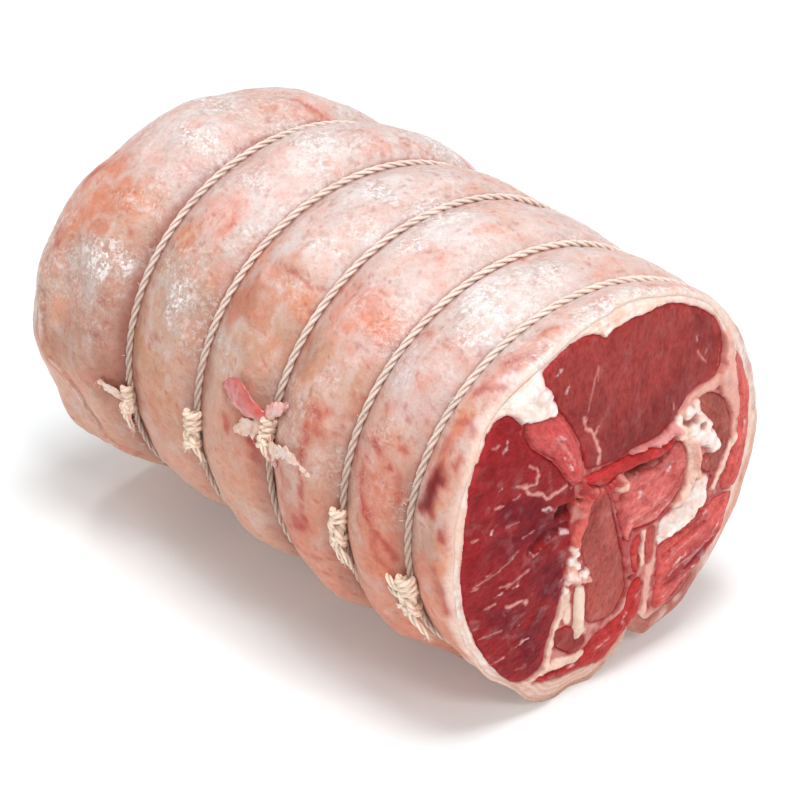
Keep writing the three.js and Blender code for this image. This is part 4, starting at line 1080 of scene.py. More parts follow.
# Each muscle's outline, lift above the face, doming, base colour, dark colour, fibre direction,
# fibre strength, count of fine pale threads and wetness
MUSCLES = {
    "eye_muscle": dict(
        lift=0.1, dome=0.7, base=(160, 62, 58), dark=(124, 40, 42), fibre=80, grain=0.14,
        threads=6, wet=0.45, grow=0.35, specks=0.14,
        outline=[
            (-32.5, 104.5), (-27, 109), (-17, 112.2), (-11, 111.2), (-8.5, 109.4), (-5.5, 111), (6, 111.5),
            (17, 111), (26, 107.5), (36, 101), (40, 95), (40, 88), (37, 82.8), (27, 81.2), (21.5, 78.8),
            (16, 74.8), (9, 73), (-13, 72.6), (-17, 75.5), (-18.5, 81.5), (-24, 91), (-27, 95),
            (-28.5, 99.5)]),
    "left_muscle": dict(
        lift=0.0, dome=0.6, base=(148, 34, 38), dark=(110, 16, 32), fibre=14, grain=0.18,
        threads=16, wet=0.8, grow=0.6, specks=0.06,
        outline=[
            (-43.8, 97.2), (-41.2, 96), (-38.9, 92), (-36.6, 86.2), (-29, 79.4), (-24.4, 72.6),
            (-20.6, 68.2), (-22, 60), (-22.8, 52), (-24.2, 40), (-25.4, 32), (-28.4, 23), (-30, 15.8),
            (-35.6, 13.6), (-41.6, 16), (-50.8, 26.4), (-57.2, 38.6), (-60.6, 51), (-60.6, 62), (-58.4, 79.6),
            (-53, 88.6), (-48.4, 94.6)]),
    "tongue_muscle": dict(
        lift=1.3, dome=1.7, base=(208, 88, 86), dark=(172, 48, 54), fibre=-52, grain=0.12,
        threads=0, wet=1.0, grow=1.0, specks=0.1,
        outline=[
            (-37.3, 92.6), (-29.8, 93), (-25, 89), (-20.9, 81.5), (-19, 74.5), (-19.8, 71.8),
            (-23, 73.5), (-28.4, 81.6), (-35.2, 87.4)]),
    "centre_muscle": dict(
        lift=-0.3, dome=0.9, base=(178, 88, 78), dark=(146, 60, 54), fibre=72, grain=0.16,
        threads=0, wet=0.7, grow=0.5, specks=0.55,
        outline=[
            (-12.5, 63.3), (-7.5, 62.5), (-4, 52.8), (0, 40.5), (2.4, 31), (1, 24), (-4, 21.2),
            (-12, 22.8), (-13.6, 28), (-13, 38.4), (-15.6, 44), (-17, 53)]),
    "lower_centre_muscle": dict(
        lift=-0.2, dome=0.9, base=(152, 58, 54), dark=(118, 36, 38), fibre=60, grain=0.16,
        threads=0, wet=0.7, grow=0.4, specks=0.1,
        outline=[(-26, 24.6), (-20.5, 25), (-14, 19.6), (-12.4, 15.8), (-17, 13.9), (-23.6, 18.8)]),
    "bottom_strip": dict(
        lift=0.3, dome=1.2, base=(188, 56, 54), dark=(140, 28, 34), fibre=35, grain=0.18,
        threads=3, wet=0.9, grow=0.4, specks=0.1,
        outline=[
            (-33, 11.4), (-23, 10.8), (-14.7, 10), (-9, 15.8), (-1.5, 19), (2.4, 22.5), (4.6, 28.6),
            (8, 29.2), (9.3, 24.5), (7.5, 18), (2.5, 13.6), (-1.8, 9), (-6, 6.6), (-19.7, 7.6)]),
    "curl_strip": dict(
        lift=1.2, dome=1.4, base=(190, 58, 56), dark=(140, 24, 32), fibre=-3, grain=0.16,
        threads=0, wet=1.0, grow=0.3, specks=0.1,
        outline=[(-17.6, 70.4), (-9, 71), (11, 70.8), (18.4, 69.6), (12, 67.4), (-3, 67.4), (-12, 66.9)]),
    "inner_curl": dict(
        lift=0.2, dome=1.5, base=(220, 118, 112), dark=(176, 66, 66), fibre=24, grain=0.16, lumpy=1.0,
        threads=6, wet=1.0, grow=0.4, specks=0.1,
        outline=[
            (-4.6, 61.4), (3, 63.4), (13, 64), (20.4, 67.6), (23.2, 65.4), (24.3, 60), (22.6, 54.4),
            (19, 49.6), (13, 46.2), (4.4, 46.2), (1.6, 44), (-2.2, 52.8)]),
    "inner_strip_1": dict(
        lift=0.1, dome=1.1, base=(196, 66, 62), dark=(150, 36, 38), fibre=85, grain=0.14,
        threads=0, wet=0.9, grow=0.3, specks=0.1,
        outline=[(3, 42), (7.2, 44), (7.3, 38), (7.4, 32.6), (4.8, 32.8)]),
    "inner_strip_2": dict(
        lift=0.2, dome=1.1, base=(206, 100, 92), dark=(160, 54, 54), fibre=85, grain=0.14,
        threads=0, wet=0.9, grow=0.3, specks=0.1,
        outline=[(9.6, 44), (13.4, 44), (13.1, 39), (12.4, 33.8), (10, 33.4), (9.3, 38)]),
    "brown_muscle": dict(
        lift=-0.2, dome=1.0, base=(176, 94, 80), dark=(132, 60, 52), fibre=110, grain=0.14,
        threads=0, wet=0.8, grow=0.4, specks=0.1,
        outline=[
            (30, 78.2), (34, 78.4), (40, 75), (44.2, 70), (44.8, 63.5), (42, 57), (38, 52.6),
            (34, 53.7), (31.4, 57.4), (38.4, 61.8), (35.6, 68), (29.2, 75.6)]),
    "flank_strip": dict(
        lift=0.1, dome=0.7, base=(216, 100, 92), dark=(172, 58, 56), fibre=95, grain=0.18,
        threads=4, wet=0.8, grow=0.3, specks=0.1,
        outline=[
            (46.6, 86.4), (50.2, 82), (52.8, 75), (54, 66), (53.4, 57), (51.4, 49.6), (48.4, 43.4), (42, 45),
            (44.6, 52), (47.2, 61.6), (48.1, 70), (46.2, 79)]),
    "lower_right_muscle": dict(
        lift=0.4, dome=1.4, base=(216, 98, 92), dark=(146, 38, 48), fibre=22, grain=0.2,
        threads=8, wet=1.0, grow=0.3, specks=0.1,
        outline=[
            (15.2, 36.8), (24.7, 37.6), (31.5, 41.4), (39.6, 42.2), (47.2, 41.6), (45.4, 35.6), (42, 30.2),
            (37, 25.4), (31, 21), (25, 18), (18.8, 16), (14.8, 16.8), (15.4, 22), (15.6, 29)]),
    "tendon": dict(
        lift=0.9, dome=1.0, base=(234, 210, 192), dark=(212, 164, 146), fibre=88, grain=0.06,
        threads=0, wet=0.6, grow=0.0, specks=0.0,
        outline=[(-18.8, 36), (-15.4, 36), (-15, 26), (-14.2, 21.5), (-17, 19.3), (-18.4, 23)]),
}
# Pale veins: half width, strength, places
VEINS = [
    (0.55, 0.9, [
        (-17.6, 89.2), (-16.6, 85.9), (-13.9, 82.6), (-13.3, 79.2), (-12.1, 75.9), (-11.4, 73.4)]),
    (0.4, 0.8, [(-13.9, 82.6), (-12.3, 83.5), (-12.4, 85.2)]),
    (0.3, 0.45, [(-12.3, 102.8), (-14.4, 98.5), (-15.8, 94.3), (-16.5, 90.9)]),
    (0.3, 0.6, [(28.5, 93.0), (30.5, 90.4), (32.6, 88.3)]), (0.25, 0.5, [(31.5, 90.8), (32.6, 92.0)]),
    (0.55, 0.85, [
        (-39.3, 77.0), (-38.2, 74.5), (-35.8, 72.9), (-33.4, 71.4), (-31.8, 70.2), (-27.6, 70.0),
        (-23.4, 71.1)]),
    (0.4, 0.8, [
        (-37.6, 82.2), (-35.3, 80.7), (-34.6, 79.0), (-35.9, 77.6), (-35.6, 76.0), (-39.0, 75.7)]),
    (0.35, 0.7, [(-42.2, 77.2), (-39.4, 76.1)]), (0.35, 0.7, [(-49.8, 73.1), (-46.6, 72.8)]),
    (0.6, 0.9, [(-44.9, 41.6), (-40.4, 41.3), (-37.9, 40.4)]),
    (0.3, 0.55, [(-48.3, 54.1), (-43.3, 55.9)]), (0.3, 0.5, [(-54.3, 34.3), (-46.2, 34.1)]),
    (0.35, 0.6, [(-46.0, 47.7), (-41.9, 49.0), (-37.7, 50.4)]),
    (0.35, 0.6, [(-52.6, 43.1), (-49.4, 44.0)]),
    (0.3, 0.5, [(-57.3, 51.9), (-53.2, 53.0), (-48.3, 53.7)]),
    (0.4, 0.6, [(-30, 88.5), (-26, 83), (-22.6, 77.6)]), (0.35, 0.7, [(2, 50), (9, 50.5), (16, 52.4)]),
    (0.35, 0.6, [(9, 47.8), (17, 49.8), (21, 53)]), (0.4, 0.55, [(20, 26), (28, 28.4), (36, 31)]),
    (0.35, 0.6, [(18, 31), (25, 33.5), (31, 35)]),
]
# Thin wet ridges of the muscles, painted with pale glints as painted highlights: half width, places
WET_LINES = [
    (0.4, [(-36.5, 54.4), (-31, 57.0), (-26, 57.4), (-23, 56.6)]),
    (0.3, [(-50.5, 45.2), (-46, 46.6), (-41.5, 47.2)]), (0.3, [(-44, 25), (-40, 26.4), (-36.5, 28)]),
    (0.3, [(-52, 66.2), (-48.5, 67.6)]), (0.3, [(-33, 66.6), (-27, 65.2)]),
    (0.25, [(-57.5, 52.6), (-54, 53.6), (-50, 54.4)]), (0.25, [(-41, 33), (-37, 34.6)]),
    (0.25, [(-50, 78), (-47, 79.4)]), (0.25, [(-46.5, 88), (-44.8, 90.6)]),
    (0.25, [(-24.5, 98.2), (-22.8, 99.8)]), (0.2, [(-28.6, 103.2), (-25.8, 105.6)]),
    (0.3, [(3, 56.6), (6, 58)]), (0.3, [(8, 52.2), (12, 53.6)]), (0.3, [(12.5, 49.6), (16, 51.2)]),
    (0.3, [(15, 61.6), (18.6, 64)]), (0.35, [(34, 29.4), (38, 32.6), (41.5, 36)]),
    (0.3, [(30, 39.6), (35, 40.4)]), (0.35, [(21, 27.6), (26, 30.4)]), (0.3, [(18, 19.6), (21.5, 21.4)]),
    (0.3, [(0, 16), (3, 20)]), (0.3, [(-8, 12.2), (-4, 14)]), (0.3, [(4.6, 25.6), (6.6, 27)]),
    (0.25, [(-20, 9.2), (-15, 9.4)]), (0.3, [(-30, 89.4), (-26, 86.4)]),
    (0.3, [(-27, 81), (-23.6, 76.6)]), (0.3, [(33, 56.6), (36.8, 59.6)]),
    (0.25, [(50.6, 62), (51.6, 68)]), (0.3, [(27, 22), (31.5, 24)]),
]
# Darker places of the muscles: half width, strength, places
SHADES = [
    (3.2, 0.75, [(-45.1, 70.5), (-34.5, 67.9)]), (3.0, 0.85, [(-30.4, 41.9), (-27.1, 40.3)]),
    (3.4, 0.6, [(-48.6, 39.4), (-44.5, 35.3)]), (2.6, 0.85, [(-39.8, 62.3), (-28.1, 61.4)]),
    (2.8, 0.7, [(-28.6, 48.2), (-25.5, 43.3)]), (3.0, 0.5, [(-50, 62), (-44, 58)]),
    (3.0, 0.6, [(-37, 28), (-34, 22)]), (6.0, 0.55, [(-6, 79), (8, 79), (16, 82)]),
    (3.0, 0.4, [(-20, 92), (-12, 90)]), (3.0, 0.7, [(22, 25), (35, 29)]),
    (3.0, 0.4, [(26, 100), (34, 94)]), (2.0, 0.7, [(-2, 58), (-1, 50)]),
]
# Deep folds: half width, depth, places. Painted shade darkens the deepest
FOLDS = [
    (2.0, 1.3, [(-37.5, 55.9), (-33.3, 58.0), (-29.9, 59.1), (-26.6, 59.0), (-22.2, 58.2)]),
    (3.2, 2.2, [(-26.5, 63.4), (-21.3, 63.1), (-18, 63.7)]),
    (1.6, 0.9, [(-2, 59.6), (4, 59.2), (11, 60), (19, 63.4)]),
    (1.3, 1.0, [(5, 48.6), (13, 51.4), (18, 54.6), (22, 59)]),
    (1.2, 0.5, [(2, 54.4), (10, 56.4), (17, 59.4)]), (0.9, 0.9, [(17, 33.4), (26, 36), (34, 38)]),
    (0.9, 0.8, [(17, 22.5), (26, 24.4), (38, 30)]), (0.7, 0.6, [(-8, 15), (0, 16.6), (5, 21)]),
]

FACE_STEP = 0.46
BACK_STEP = 1.3
EDGE_WOBBLE = 0.3


WOBBLE_SIZE = 2.6


def wobbly(outline, step, seed, amount, grow):
    """An outline at even steps, a little larger and less regular than its bare points"""
    loop = spaced_loop(outline, step)
    tangent = unit(np.roll(loop, -2, axis=0) - np.roll(loop, 2, axis=0))
    away = np.stack([tangent[:, 1], -tangent[:, 0]], axis=1)
    sideways = flat_shift(loop, WOBBLE_SIZE, seed, 3)
    return loop + away * grow * np.sign(turning(loop)) + amount * sideways


OUTLINES = {
    name: wobbly(muscle["outline"], FACE_STEP, 40 + 2 * index, EDGE_WOBBLE, muscle["grow"])
    for index, (name, muscle) in enumerate(MUSCLES.items())
}


def face_relief(points):
    """Gentle relief that the whole cut face shares"""
    return 0.5 * flat_noise(points, 14, 60, 2) + 0.12 * flat_noise(points, 3.4, 61, 2)


def folds(points):
    """How deep the folds are at each point"""
    depth = np.zeros(len(points))
    for half_width, amount, line in FOLDS:
        gap = reach(points, line) + 0.25 * flat_noise(points, 1.6, 62)
        depth = np.maximum(depth, amount * (1 - smooth(gap, 0, half_width)))
    return depth


# Threads of the muscles: spread of their direction, lengths, bend, half widths and strengths
THREAD_TURN, THREAD_LENGTHS, THREAD_BEND = 9, (1.2, 5), 0.35
THREAD_WIDTHS, THREAD_STRENGTHS = (0.16, 0.34), (0.2, 0.7)


def random_threads(outline, muscle, seed):
    """Short pale threads along the fibres, at random places in the muscle"""
    rng = np.random.default_rng(seed)
    low, high = outline.min(axis=0), outline.max(axis=0)
    threads = []
    while len(threads) < muscle["threads"]:
        start = rng.uniform(low, high)
        if not inside(start[None], outline)[0]:
            continue
        turn = math.radians(muscle["fibre"] + rng.normal(0, THREAD_TURN))
        length = rng.uniform(*THREAD_LENGTHS)
        step = length * np.array([math.cos(turn), math.sin(turn)])
        bend = rng.normal(0, THREAD_BEND, 2)
        threads.append((rng.uniform(*THREAD_WIDTHS), rng.uniform(*THREAD_STRENGTHS),
                        [start, start + step / 2 + bend, start + step]))
    return threads


# How deep a muscle's dome is felt, and the round of its edge: reach, then depth and reach
MUSCLE_DEPTH, DOME_REACH, EDGE_FALL, EDGE_REACH = 60, 3, 0.75, 1.2
# Heights of the fibres and the coarse grain, and their shares of the muscle's tone
FIBRE_HEIGHT, COARSE_HEIGHT, FIBRE_TONE, COARSE_TONE = 0.10, 0.24, 0.7, 0.6
USUAL_LUMPS = 0.3
PLAIN_BRIGHT, BRIGHT_RIM = shade(190, 92, 88), 0.7
DARK_MEAT_GREEN = 80
VEIN_REACH, VEIN_RISE, STRAIGHT_VEIN = (0.4, 1.6), 0.14, 0.36
SHADE_REACH, SHADE_RAGGED = (0.3, 1.8), 1.1
FOLD_SHADE, FOLD_LEVELS, FOLD_WET, FOLD_WET_LEVELS = 0.85, (0.6, 2.4), 0.9, (0.1, 0.5)
WET_LINE_REACH, WET_LINE_PAINTED_GLINT, WET_LINE_RISE = (0.3, 1.6), 0.75, 0.3


def muscle_cap(name, muscle, outline, points, seed):
    """Height over the cut face, colour and wetness at points of a muscle's end"""
    depth = depth_inside(points, outline, MUSCLE_DEPTH)
    fibre = flat_noise(points, 1.1, seed, 2, muscle["fibre"], 2.2)
    coarse = flat_noise(points, 2.8, seed + 1, 3, muscle["fibre"], 2)
    lumps = flat_noise(points, 9, seed + 2, 3)
    height = muscle["lift"] + muscle["dome"] * (1 - np.exp(-np.maximum(depth, 0) / DOME_REACH))
    height -= EDGE_FALL * (1 - smooth(depth, 0, EDGE_REACH)) ** 2
    grain = face_relief(points) + FIBRE_HEIGHT * fibre + COARSE_HEIGHT * coarse
    height += grain + muscle.get("lumpy", USUAL_LUMPS) * lumps
    fold = folds(points)
    height -= fold
    base, dark = shade(*muscle["base"]), shade(*muscle["dark"])
    colour = blended(painted(len(points), base), dark, 0.5 * smooth(lumps, -0.1, 0.9))
    warped = points + 0.9 * flat_shift(points, 3, 64, 3)
    for half_width, strength, line in SHADES:
        gap = reach(warped, line) + SHADE_RAGGED * flat_noise(points, 4, 66, 3)
        colour = blended(colour, dark, strength * line_share(gap, half_width, SHADE_REACH))
    colour = colour * (1 + muscle["grain"] * (FIBRE_TONE * fibre + COARSE_TONE * coarse))[:, None]
    rim = (1 - smooth(depth, 0.4, 2.6)) * np.clip(0.4 + 0.5 * flat_noise(points, 5, 67, 2), 0, 1)
    if name != "tendon":
        bright = MEAT_BRIGHT if muscle["base"][1] < DARK_MEAT_GREEN else PLAIN_BRIGHT
        colour = blended(colour, bright, BRIGHT_RIM * rim)
    for half_width, strength, line in VEINS + random_threads(outline, muscle, seed):
        gap = reach(warped if half_width > STRAIGHT_VEIN else points, line)
        gap = gap + 0.16 * flat_noise(points, 1.4, 68)
        shown = strength * line_share(gap, half_width, VEIN_REACH)
        colour = blended(colour, VEIN, shown)
        height += VEIN_RISE * shown
    # Painted shade in the folds
    colour = blended(colour, FOLD_PAINTED_SHADE, FOLD_SHADE * smooth(fold, *FOLD_LEVELS))
    wet = muscle["wet"] * smooth(flat_noise(points, 8, seed + 4, 3), -0.5, 0.5)
    wet = wet + FOLD_WET * smooth(fold, *FOLD_WET_LEVELS)
    for half_width, line in WET_LINES:
        gap = reach(warped, line) + 0.3 * flat_noise(points, 1.3, 69, 2)
        shown = line_share(gap, half_width, WET_LINE_REACH)
        broken = smooth(flat_noise(points, 2.2, 63, 2), -0.3, 0.3)
        # Painted highlight: the pale glint of a wet ridge, broken into dashes
        colour = blended(colour, PAINTED_GLINT_PINK, WET_LINE_PAINTED_GLINT * shown * broken)
        height += WET_LINE_RISE * shown
        wet = wet + shown
    return height, colour, wet


def taper_at(x):
    """The size of the muscles at a place along the roll, as a share of their size at the cut face"""
    return np.interp(x, TAPER[:, 0], TAPER[:, 1])


def scaled(points, scale):
    """(Across, up) points drawn towards the roll's middle line"""
    return (points - MIDDLE_LINE) * scale + MIDDLE_LINE


def unscaled(points, scale):
    """The same points before they were drawn towards the middle line"""
    return (points - MIDDLE_LINE) / scale + MIDDLE_LINE


def face_x(ring, flat):
    """How far along the roll the front or back plane is at (across, up) points"""
    return plane_x(np.full(len(flat), ring), flat[:, 0], flat[:, 1])


# Where the back end's muscles lie, and their relief there against that of the cut face
BACK_PLACE, BACK_RELIEF = -138, 0.8
SIDE_PLACES = [50, 20, -60]


def make_muscle(name, muscle, index):
    """One muscle, from its cut end at the front to its smaller one at the back"""
    seed = 100 + 10 * index
    outline = OUTLINES[name]
    count = len(outline)
    flat, faces = filled(outline, FACE_STEP)
    height, colour, wet = muscle_cap(name, muscle, outline, flat, seed)
    points = [np.column_stack([face_x(FRONT, flat) + height, flat])]
    start, total = 0, len(flat)
    side_faces = []
    for x in SIDE_PLACES:
        points.append(np.column_stack([np.full(count, float(x)), scaled(outline, taper_at(x))]))
        side_faces += band_faces(total, start, count)
        start = total
        total += count
    taper = taper_at(BACK_PLACE)
    back_flat, back_faces = filled(scaled(outline, taper), BACK_STEP)
    back_height, back_colour, back_wet = muscle_cap(name, muscle, outline, unscaled(back_flat, taper), seed)
    points.append(np.column_stack([face_x(BACK, back_flat) - BACK_RELIEF * back_height, back_flat]))
    side_faces += band_faces(total, start, count)
    turned = [tuple(corner + total for corner in face[::-1]) for face in back_faces]
    if turning(outline) < 0:
        side_faces = [face[::-1] for face in side_faces]
    sides = count * len(SIDE_PLACES)
    colours = np.vstack([colour, painted(sides, shade(*muscle["base"])), back_colour])
    wets = np.concatenate([wet, np.full(sides, SIDE_WET), back_wet])
    if name == "tendon":
        material = FAT_MATERIAL
    else:
        material = meat_material(name + "_flesh", muscle["fibre"], muscle["specks"])
    faces = faces + side_faces + turned
    new_piece(name + "_meat", np.vstack(points), faces, material, colours, wets, replaced=[name])


# Fat and tissue of the cut face, between the muscles
FAT_WHITE = shade(243, 232, 225)
FAT_CREAM = shade(238, 208, 190)
FAT_PINK = shade(226, 170, 156)
FILM_PINK = shade(220, 150, 148)
TISSUE_RED = shade(168, 52, 52)
# Painted shade in the deep hollows
HOLLOW_PAINTED_SHADE = shade(52, 6, 10)
FLAP_RED = shade(176, 52, 50)
FLAP_PINK = shade(208, 92, 82)
NUB_PINK = shade(234, 190, 172)

# Ridges of fat: half width, height, colour, lumpiness, places
RIDGES = [
    (4.2, 1.6, FAT_PINK, 0.2, [(41.4, 92), (41.6, 86), (42.8, 79.5), (45, 73), (47.5, 66), (49, 60)]),
    (3.4, 1.3, FAT_PINK, 0.2, [(41, 84), (35.6, 80.8), (28, 79.9), (22.1, 77.5)]),
    (1.4, 1.2, FAT_CREAM, 0.4, [
        (-20.6, 53.4), (-20.0, 51.1), (-19.3, 47.9), (-20.3, 43.4), (-22.0, 39.7)]),
    (2.2, 1.5, FAT_PINK, 0.8, [(-22, 43), (-19.5, 40.4), (-16.9, 40.0), (-13.9, 38.8)]),
    (1.8, 0.8, FAT_CREAM, 0.4, [(-22.3, 36), (-21.5, 31), (-20.6, 27)]),
    (2.1, 1.1, FAT_CREAM, 0.3, [(-24.6, 33.3), (-25, 29.7), (-26.6, 25.0), (-27.6, 19.4), (-28.5, 15.5)]),
    (2.3, 1.0, FAT_CREAM, 0.5, [(-30.5, 14), (-28.1, 13.8), (-23.4, 13.2), (-18.2, 12.2), (-13.5, 11.6)]),
    (2.2, 1.0, FAT_PINK, 0.5, [(12.5, 43), (12.0, 32.6), (11.6, 27.1), (10.6, 20.7), (8.4, 14.2)]),
    (1.0, 1.3, FAT_CREAM, 0.4, [(8.2, 44.2), (8.4, 38.0), (8.4, 33.6)]),
    (2.2, 2.6, FAT_CREAM, 0.4, [
        (19.8, 72.4), (24.2, 69.4), (26.6, 63.5), (27.2, 57.2), (24.6, 52.0), (21, 49.4)]),
    (2.0, 1.8, FAT_PINK, 0.4, [(27.6, 66.2), (29.0, 58.9), (30.0, 55.0)]),
    (4.0, 1.8, FAT_WHITE, 0.5, [(18.2, 42.2), (23.9, 43.8), (28.6, 46.9), (31.5, 50.4)]),
    (2.4, 1.2, FAT_WHITE, 0.5, [(16.5, 39.3), (22.9, 40.4), (28.5, 43), (32.4, 46.4)]),
    (1.5, 1.2, FAT_CREAM, 0.3, [(46.0, 60.4), (43.9, 55.8), (41.3, 50.6), (38.5, 46.0), (35.6, 44.2)]),
    (2.2, 0.6, TISSUE_RED, 0.5, [(33.6, 43.6), (38.0, 44.6), (42, 43.6)]),
    (2.0, 2.2, FILM_PINK, 0.5, [(1.9, 72.6), (7.1, 71.9), (12.3, 71.2), (16.8, 71.6), (18.1, 73.4)]),
    (2.0, 2.9, FLAP_RED, 0.3, [(-17.4, 69), (-15.6, 66.2), (-11.8, 64.6), (-8, 65.4), (-5.6, 67)]),
    (2.3, 1.5, FLAP_PINK, 0.1, [
        (-22.4, 66.0), (-18.6, 64.4), (-15.6, 62.4), (-16.8, 58.6), (-18.8, 55.0), (-20.2, 52.4)]),
    (2.4, 3.9, NUB_PINK, 0.15, [(-4.4, 66.6), (-3.6, 64.6), (-2.8, 62.8)]),
    (1.2, 0.9, FLAP_RED, 0.3, [(-22.6, 78.6), (-20.6, 75), (-19.4, 71.6)]),
    (1.5, 1.0, FLAP_RED, 0.3, [(-26.6, 92), (-22.6, 87), (-19.8, 82)]),
    (1.3, 0.8, FLAP_RED, 0.3, [(-38.6, 91), (-36.6, 87.2), (-31.4, 82.4), (-25, 75)]),
]
# Lumps of fat: across, up, radius, height
LUMPS = [
    (-20.6, 50.6, 1.3, 1.3), (-19.2, 48.0, 1.0, 1.0), (-21.6, 46.6, 1.3, 1.5), (-18.6, 43.8, 1.2, 1.2),
    (-21.8, 42.2, 1.8, 2.0), (-18.8, 40.4, 1.4, 1.7), (-15.6, 40.6, 1.3, 1.5), (-23.0, 37.8, 1.2, 1.1),
    (-13.8, 41.8, 1.0, 1.2), (-16.0, 19.9, 2.0, 2.6), (-14.6, 21.4, 1.3, 1.7), (-20.0, 44.9, 0.9, 1.0),
    (30.6, 72.7, 2.6, 2.6), (27.0, 69.8, 2.4, 2.4), (31.6, 66.2, 3.2, 3.4), (36.6, 61.0, 2.9, 3.2),
    (34.2, 64.3, 3.0, 3.0), (24.8, 75.6, 2.4, 2.0), (20.8, 74.6, 2.0, 1.6), (28.6, 76.4, 1.8, 2.0),
    (32.6, 75.2, 1.6, 1.4), (38.2, 58.6, 2.2, 2.2), (28.8, 66.9, 2.2, 2.2), (33.6, 69.4, 2.0, 2.6),
    (-39.5, 101.5, 4.6, 2.2), (-35.0, 103.2, 4.2, 2.4), (-40.6, 97.2, 3.0, 1.8), (-36.8, 97.4, 3.4, 2.4),
    (-32.6, 99.4, 3.6, 3.0), (-33.6, 95.6, 3.0, 2.8), (-30.4, 96.2, 2.6, 2.4), (-38.8, 95.4, 2.0, 1.6),
    (-29.6, 94.6, 1.8, 1.8), (-36.0, 94.6, 1.8, 1.4),
]
# Hollows of the cut face: half width, depth, places. Painted shade darkens the deepest
HOLLOWS = [
    (1.9, 7.0, [(0.6, 65.6), (4.9, 65.3), (8.8, 65.2)]),
    (1.0, 3.5, [(8.6, 65.2), (13.5, 65.4), (18.0, 67.2)]), (1.2, 3.0, [(-20.4, 65.5), (-18.4, 64.3)]),
    (0.9, 1.6, [(-4.5, 60.6), (-2.6, 54), (0.2, 45.4)]), (1.1, 1.6, [(39.6, 56.2), (37.4, 50.8)]),
    (1.2, 2.0, [(9.6, 12.2), (11.4, 14.6), (12.6, 17)]), (0.8, 1.3, [(-15.2, 42.6), (-14.2, 36)]),
    (0.9, 1.2, [(2, 31), (4.6, 31.2)]),
]
LAYER_PITCH = 1.7
LAYER_HEIGHT, LAYER_WHITE, LAYER_RED = 0.07, 0.3, 0.2
# The band of fat inside the rim: where it ends, and where it is narrower
BAND_FADE, NARROWER, LOW_NARROWER = (4.6, 8.2), 3.6, 5
LUMP_BASE, LUMP_WHITE, LUMP_REACH = 0.3, 0.95, (0.7, 1.15)
RIDGE_REACH, RIDGE_STRENGTH = (0.62, 1.08), 0.93
HOLE_SHADE_STRENGTH, HOLE_LEVELS = 0.9, (0.8, 4.0)
MUSCLE_BED = 3.2
RIM_LINE_TONE, RIM_LINE_DEPTH = shade(206, 142, 126), 0.16
BAND_RISE, RIM_ROUND, RIM_ROUND_REACH = 0.7, 0.4, 1.6
RIM_LINES = [(1.15, 0.28), (2.3, 0.3), (3.1, 0.22)]


def round_top(gap, radius):
    """The height of a half round at a distance from its middle, as a share of its radius"""
    return np.sqrt(np.clip(1 - (gap / radius) ** 2, 0, 1))


def cream_fat(points, depth):
    """The colour of the fat inside the rim, and the relief of its layers along the underside"""
    cream = blended(painted(len(points), FAT_CREAM), FAT_WHITE, 0.5 + 0.7 * flat_noise(points, 6, 75, 2))
    underneath = (1 - smooth(points[:, 1], 12, 30)) * (1 - smooth(points[:, 0], 4, 12))
    cream = blended(cream, RIM_TAN, 0.75 * underneath)
    layers = np.sin(2 * math.pi * (depth / LAYER_PITCH + 0.8 * flat_noise(points, 9, 85, 3)))
    cream = blended(cream, FAT_WHITE, LAYER_WHITE * underneath * smooth(layers, 0.3, 0.9))
    cream = blended(cream, FLAP_RED, LAYER_RED * underneath * smooth(-layers, 0.5, 1.0))
    return cream, LAYER_HEIGHT * underneath * layers


def with_ridges(height, colour, points, warped):
    """Height and colour with the ridges and lumps of fat"""
    for half_width, rise, tone, lumpy, line in RIDGES:
        gap = reach(warped, line) + 0.4 * lumpy * flat_noise(points, 2.2, 77, 2)
        bumpy = 1 + lumpy * flat_noise(points, 1.9, 78, 2)
        height = height + rise * round_top(gap, half_width) * bumpy
        tinted = painted(len(points), tone) * (1 + 0.10 * flat_noise(points, 2.2, 79, 3))[:, None]
        colour = blended(colour, tinted, RIDGE_STRENGTH * line_share(gap, half_width, RIDGE_REACH))
    for across, up, radius, rise in LUMPS:
        gap = np.hypot(points[:, 0] - across, points[:, 1] - up) + 0.5 * flat_noise(points, 1.7, 80, 2)
        height = np.maximum(height, height * LUMP_BASE + rise * round_top(gap, radius))
        colour = blended(colour, FAT_WHITE, LUMP_WHITE * line_share(gap, radius, LUMP_REACH))
    return height, colour


def with_rim_lines(height, colour, points, depth):
    """Height and colour with the fine lines that run round inside the rim"""
    for place, strength in RIM_LINES:
        wave = place + 0.35 * flat_noise(points, 7, 81)
        line = (1 - smooth(np.abs(depth - wave), 0.1, 0.5)) * smooth(flat_noise(points, 16, 82), -0.5, 0.4)
        colour = blended(colour, RIM_LINE_TONE, strength * line)
        height = height - RIM_LINE_DEPTH * line
    return height, colour


def with_hollows(height, colour, points):
    """Height with the holes between the folded layers, and colour with painted shade in them"""
    hole = np.zeros(len(points))
    for half_width, amount, line in HOLLOWS:
        gap = reach(points, line) + 0.3 * flat_noise(points, 1.8, 83)
        hole = np.maximum(hole, amount * (1 - smooth(gap, 0, half_width)))
    return height - hole, blended(colour, HOLLOW_PAINTED_SHADE, HOLE_SHADE_STRENGTH * smooth(hole, *HOLE_LEVELS))


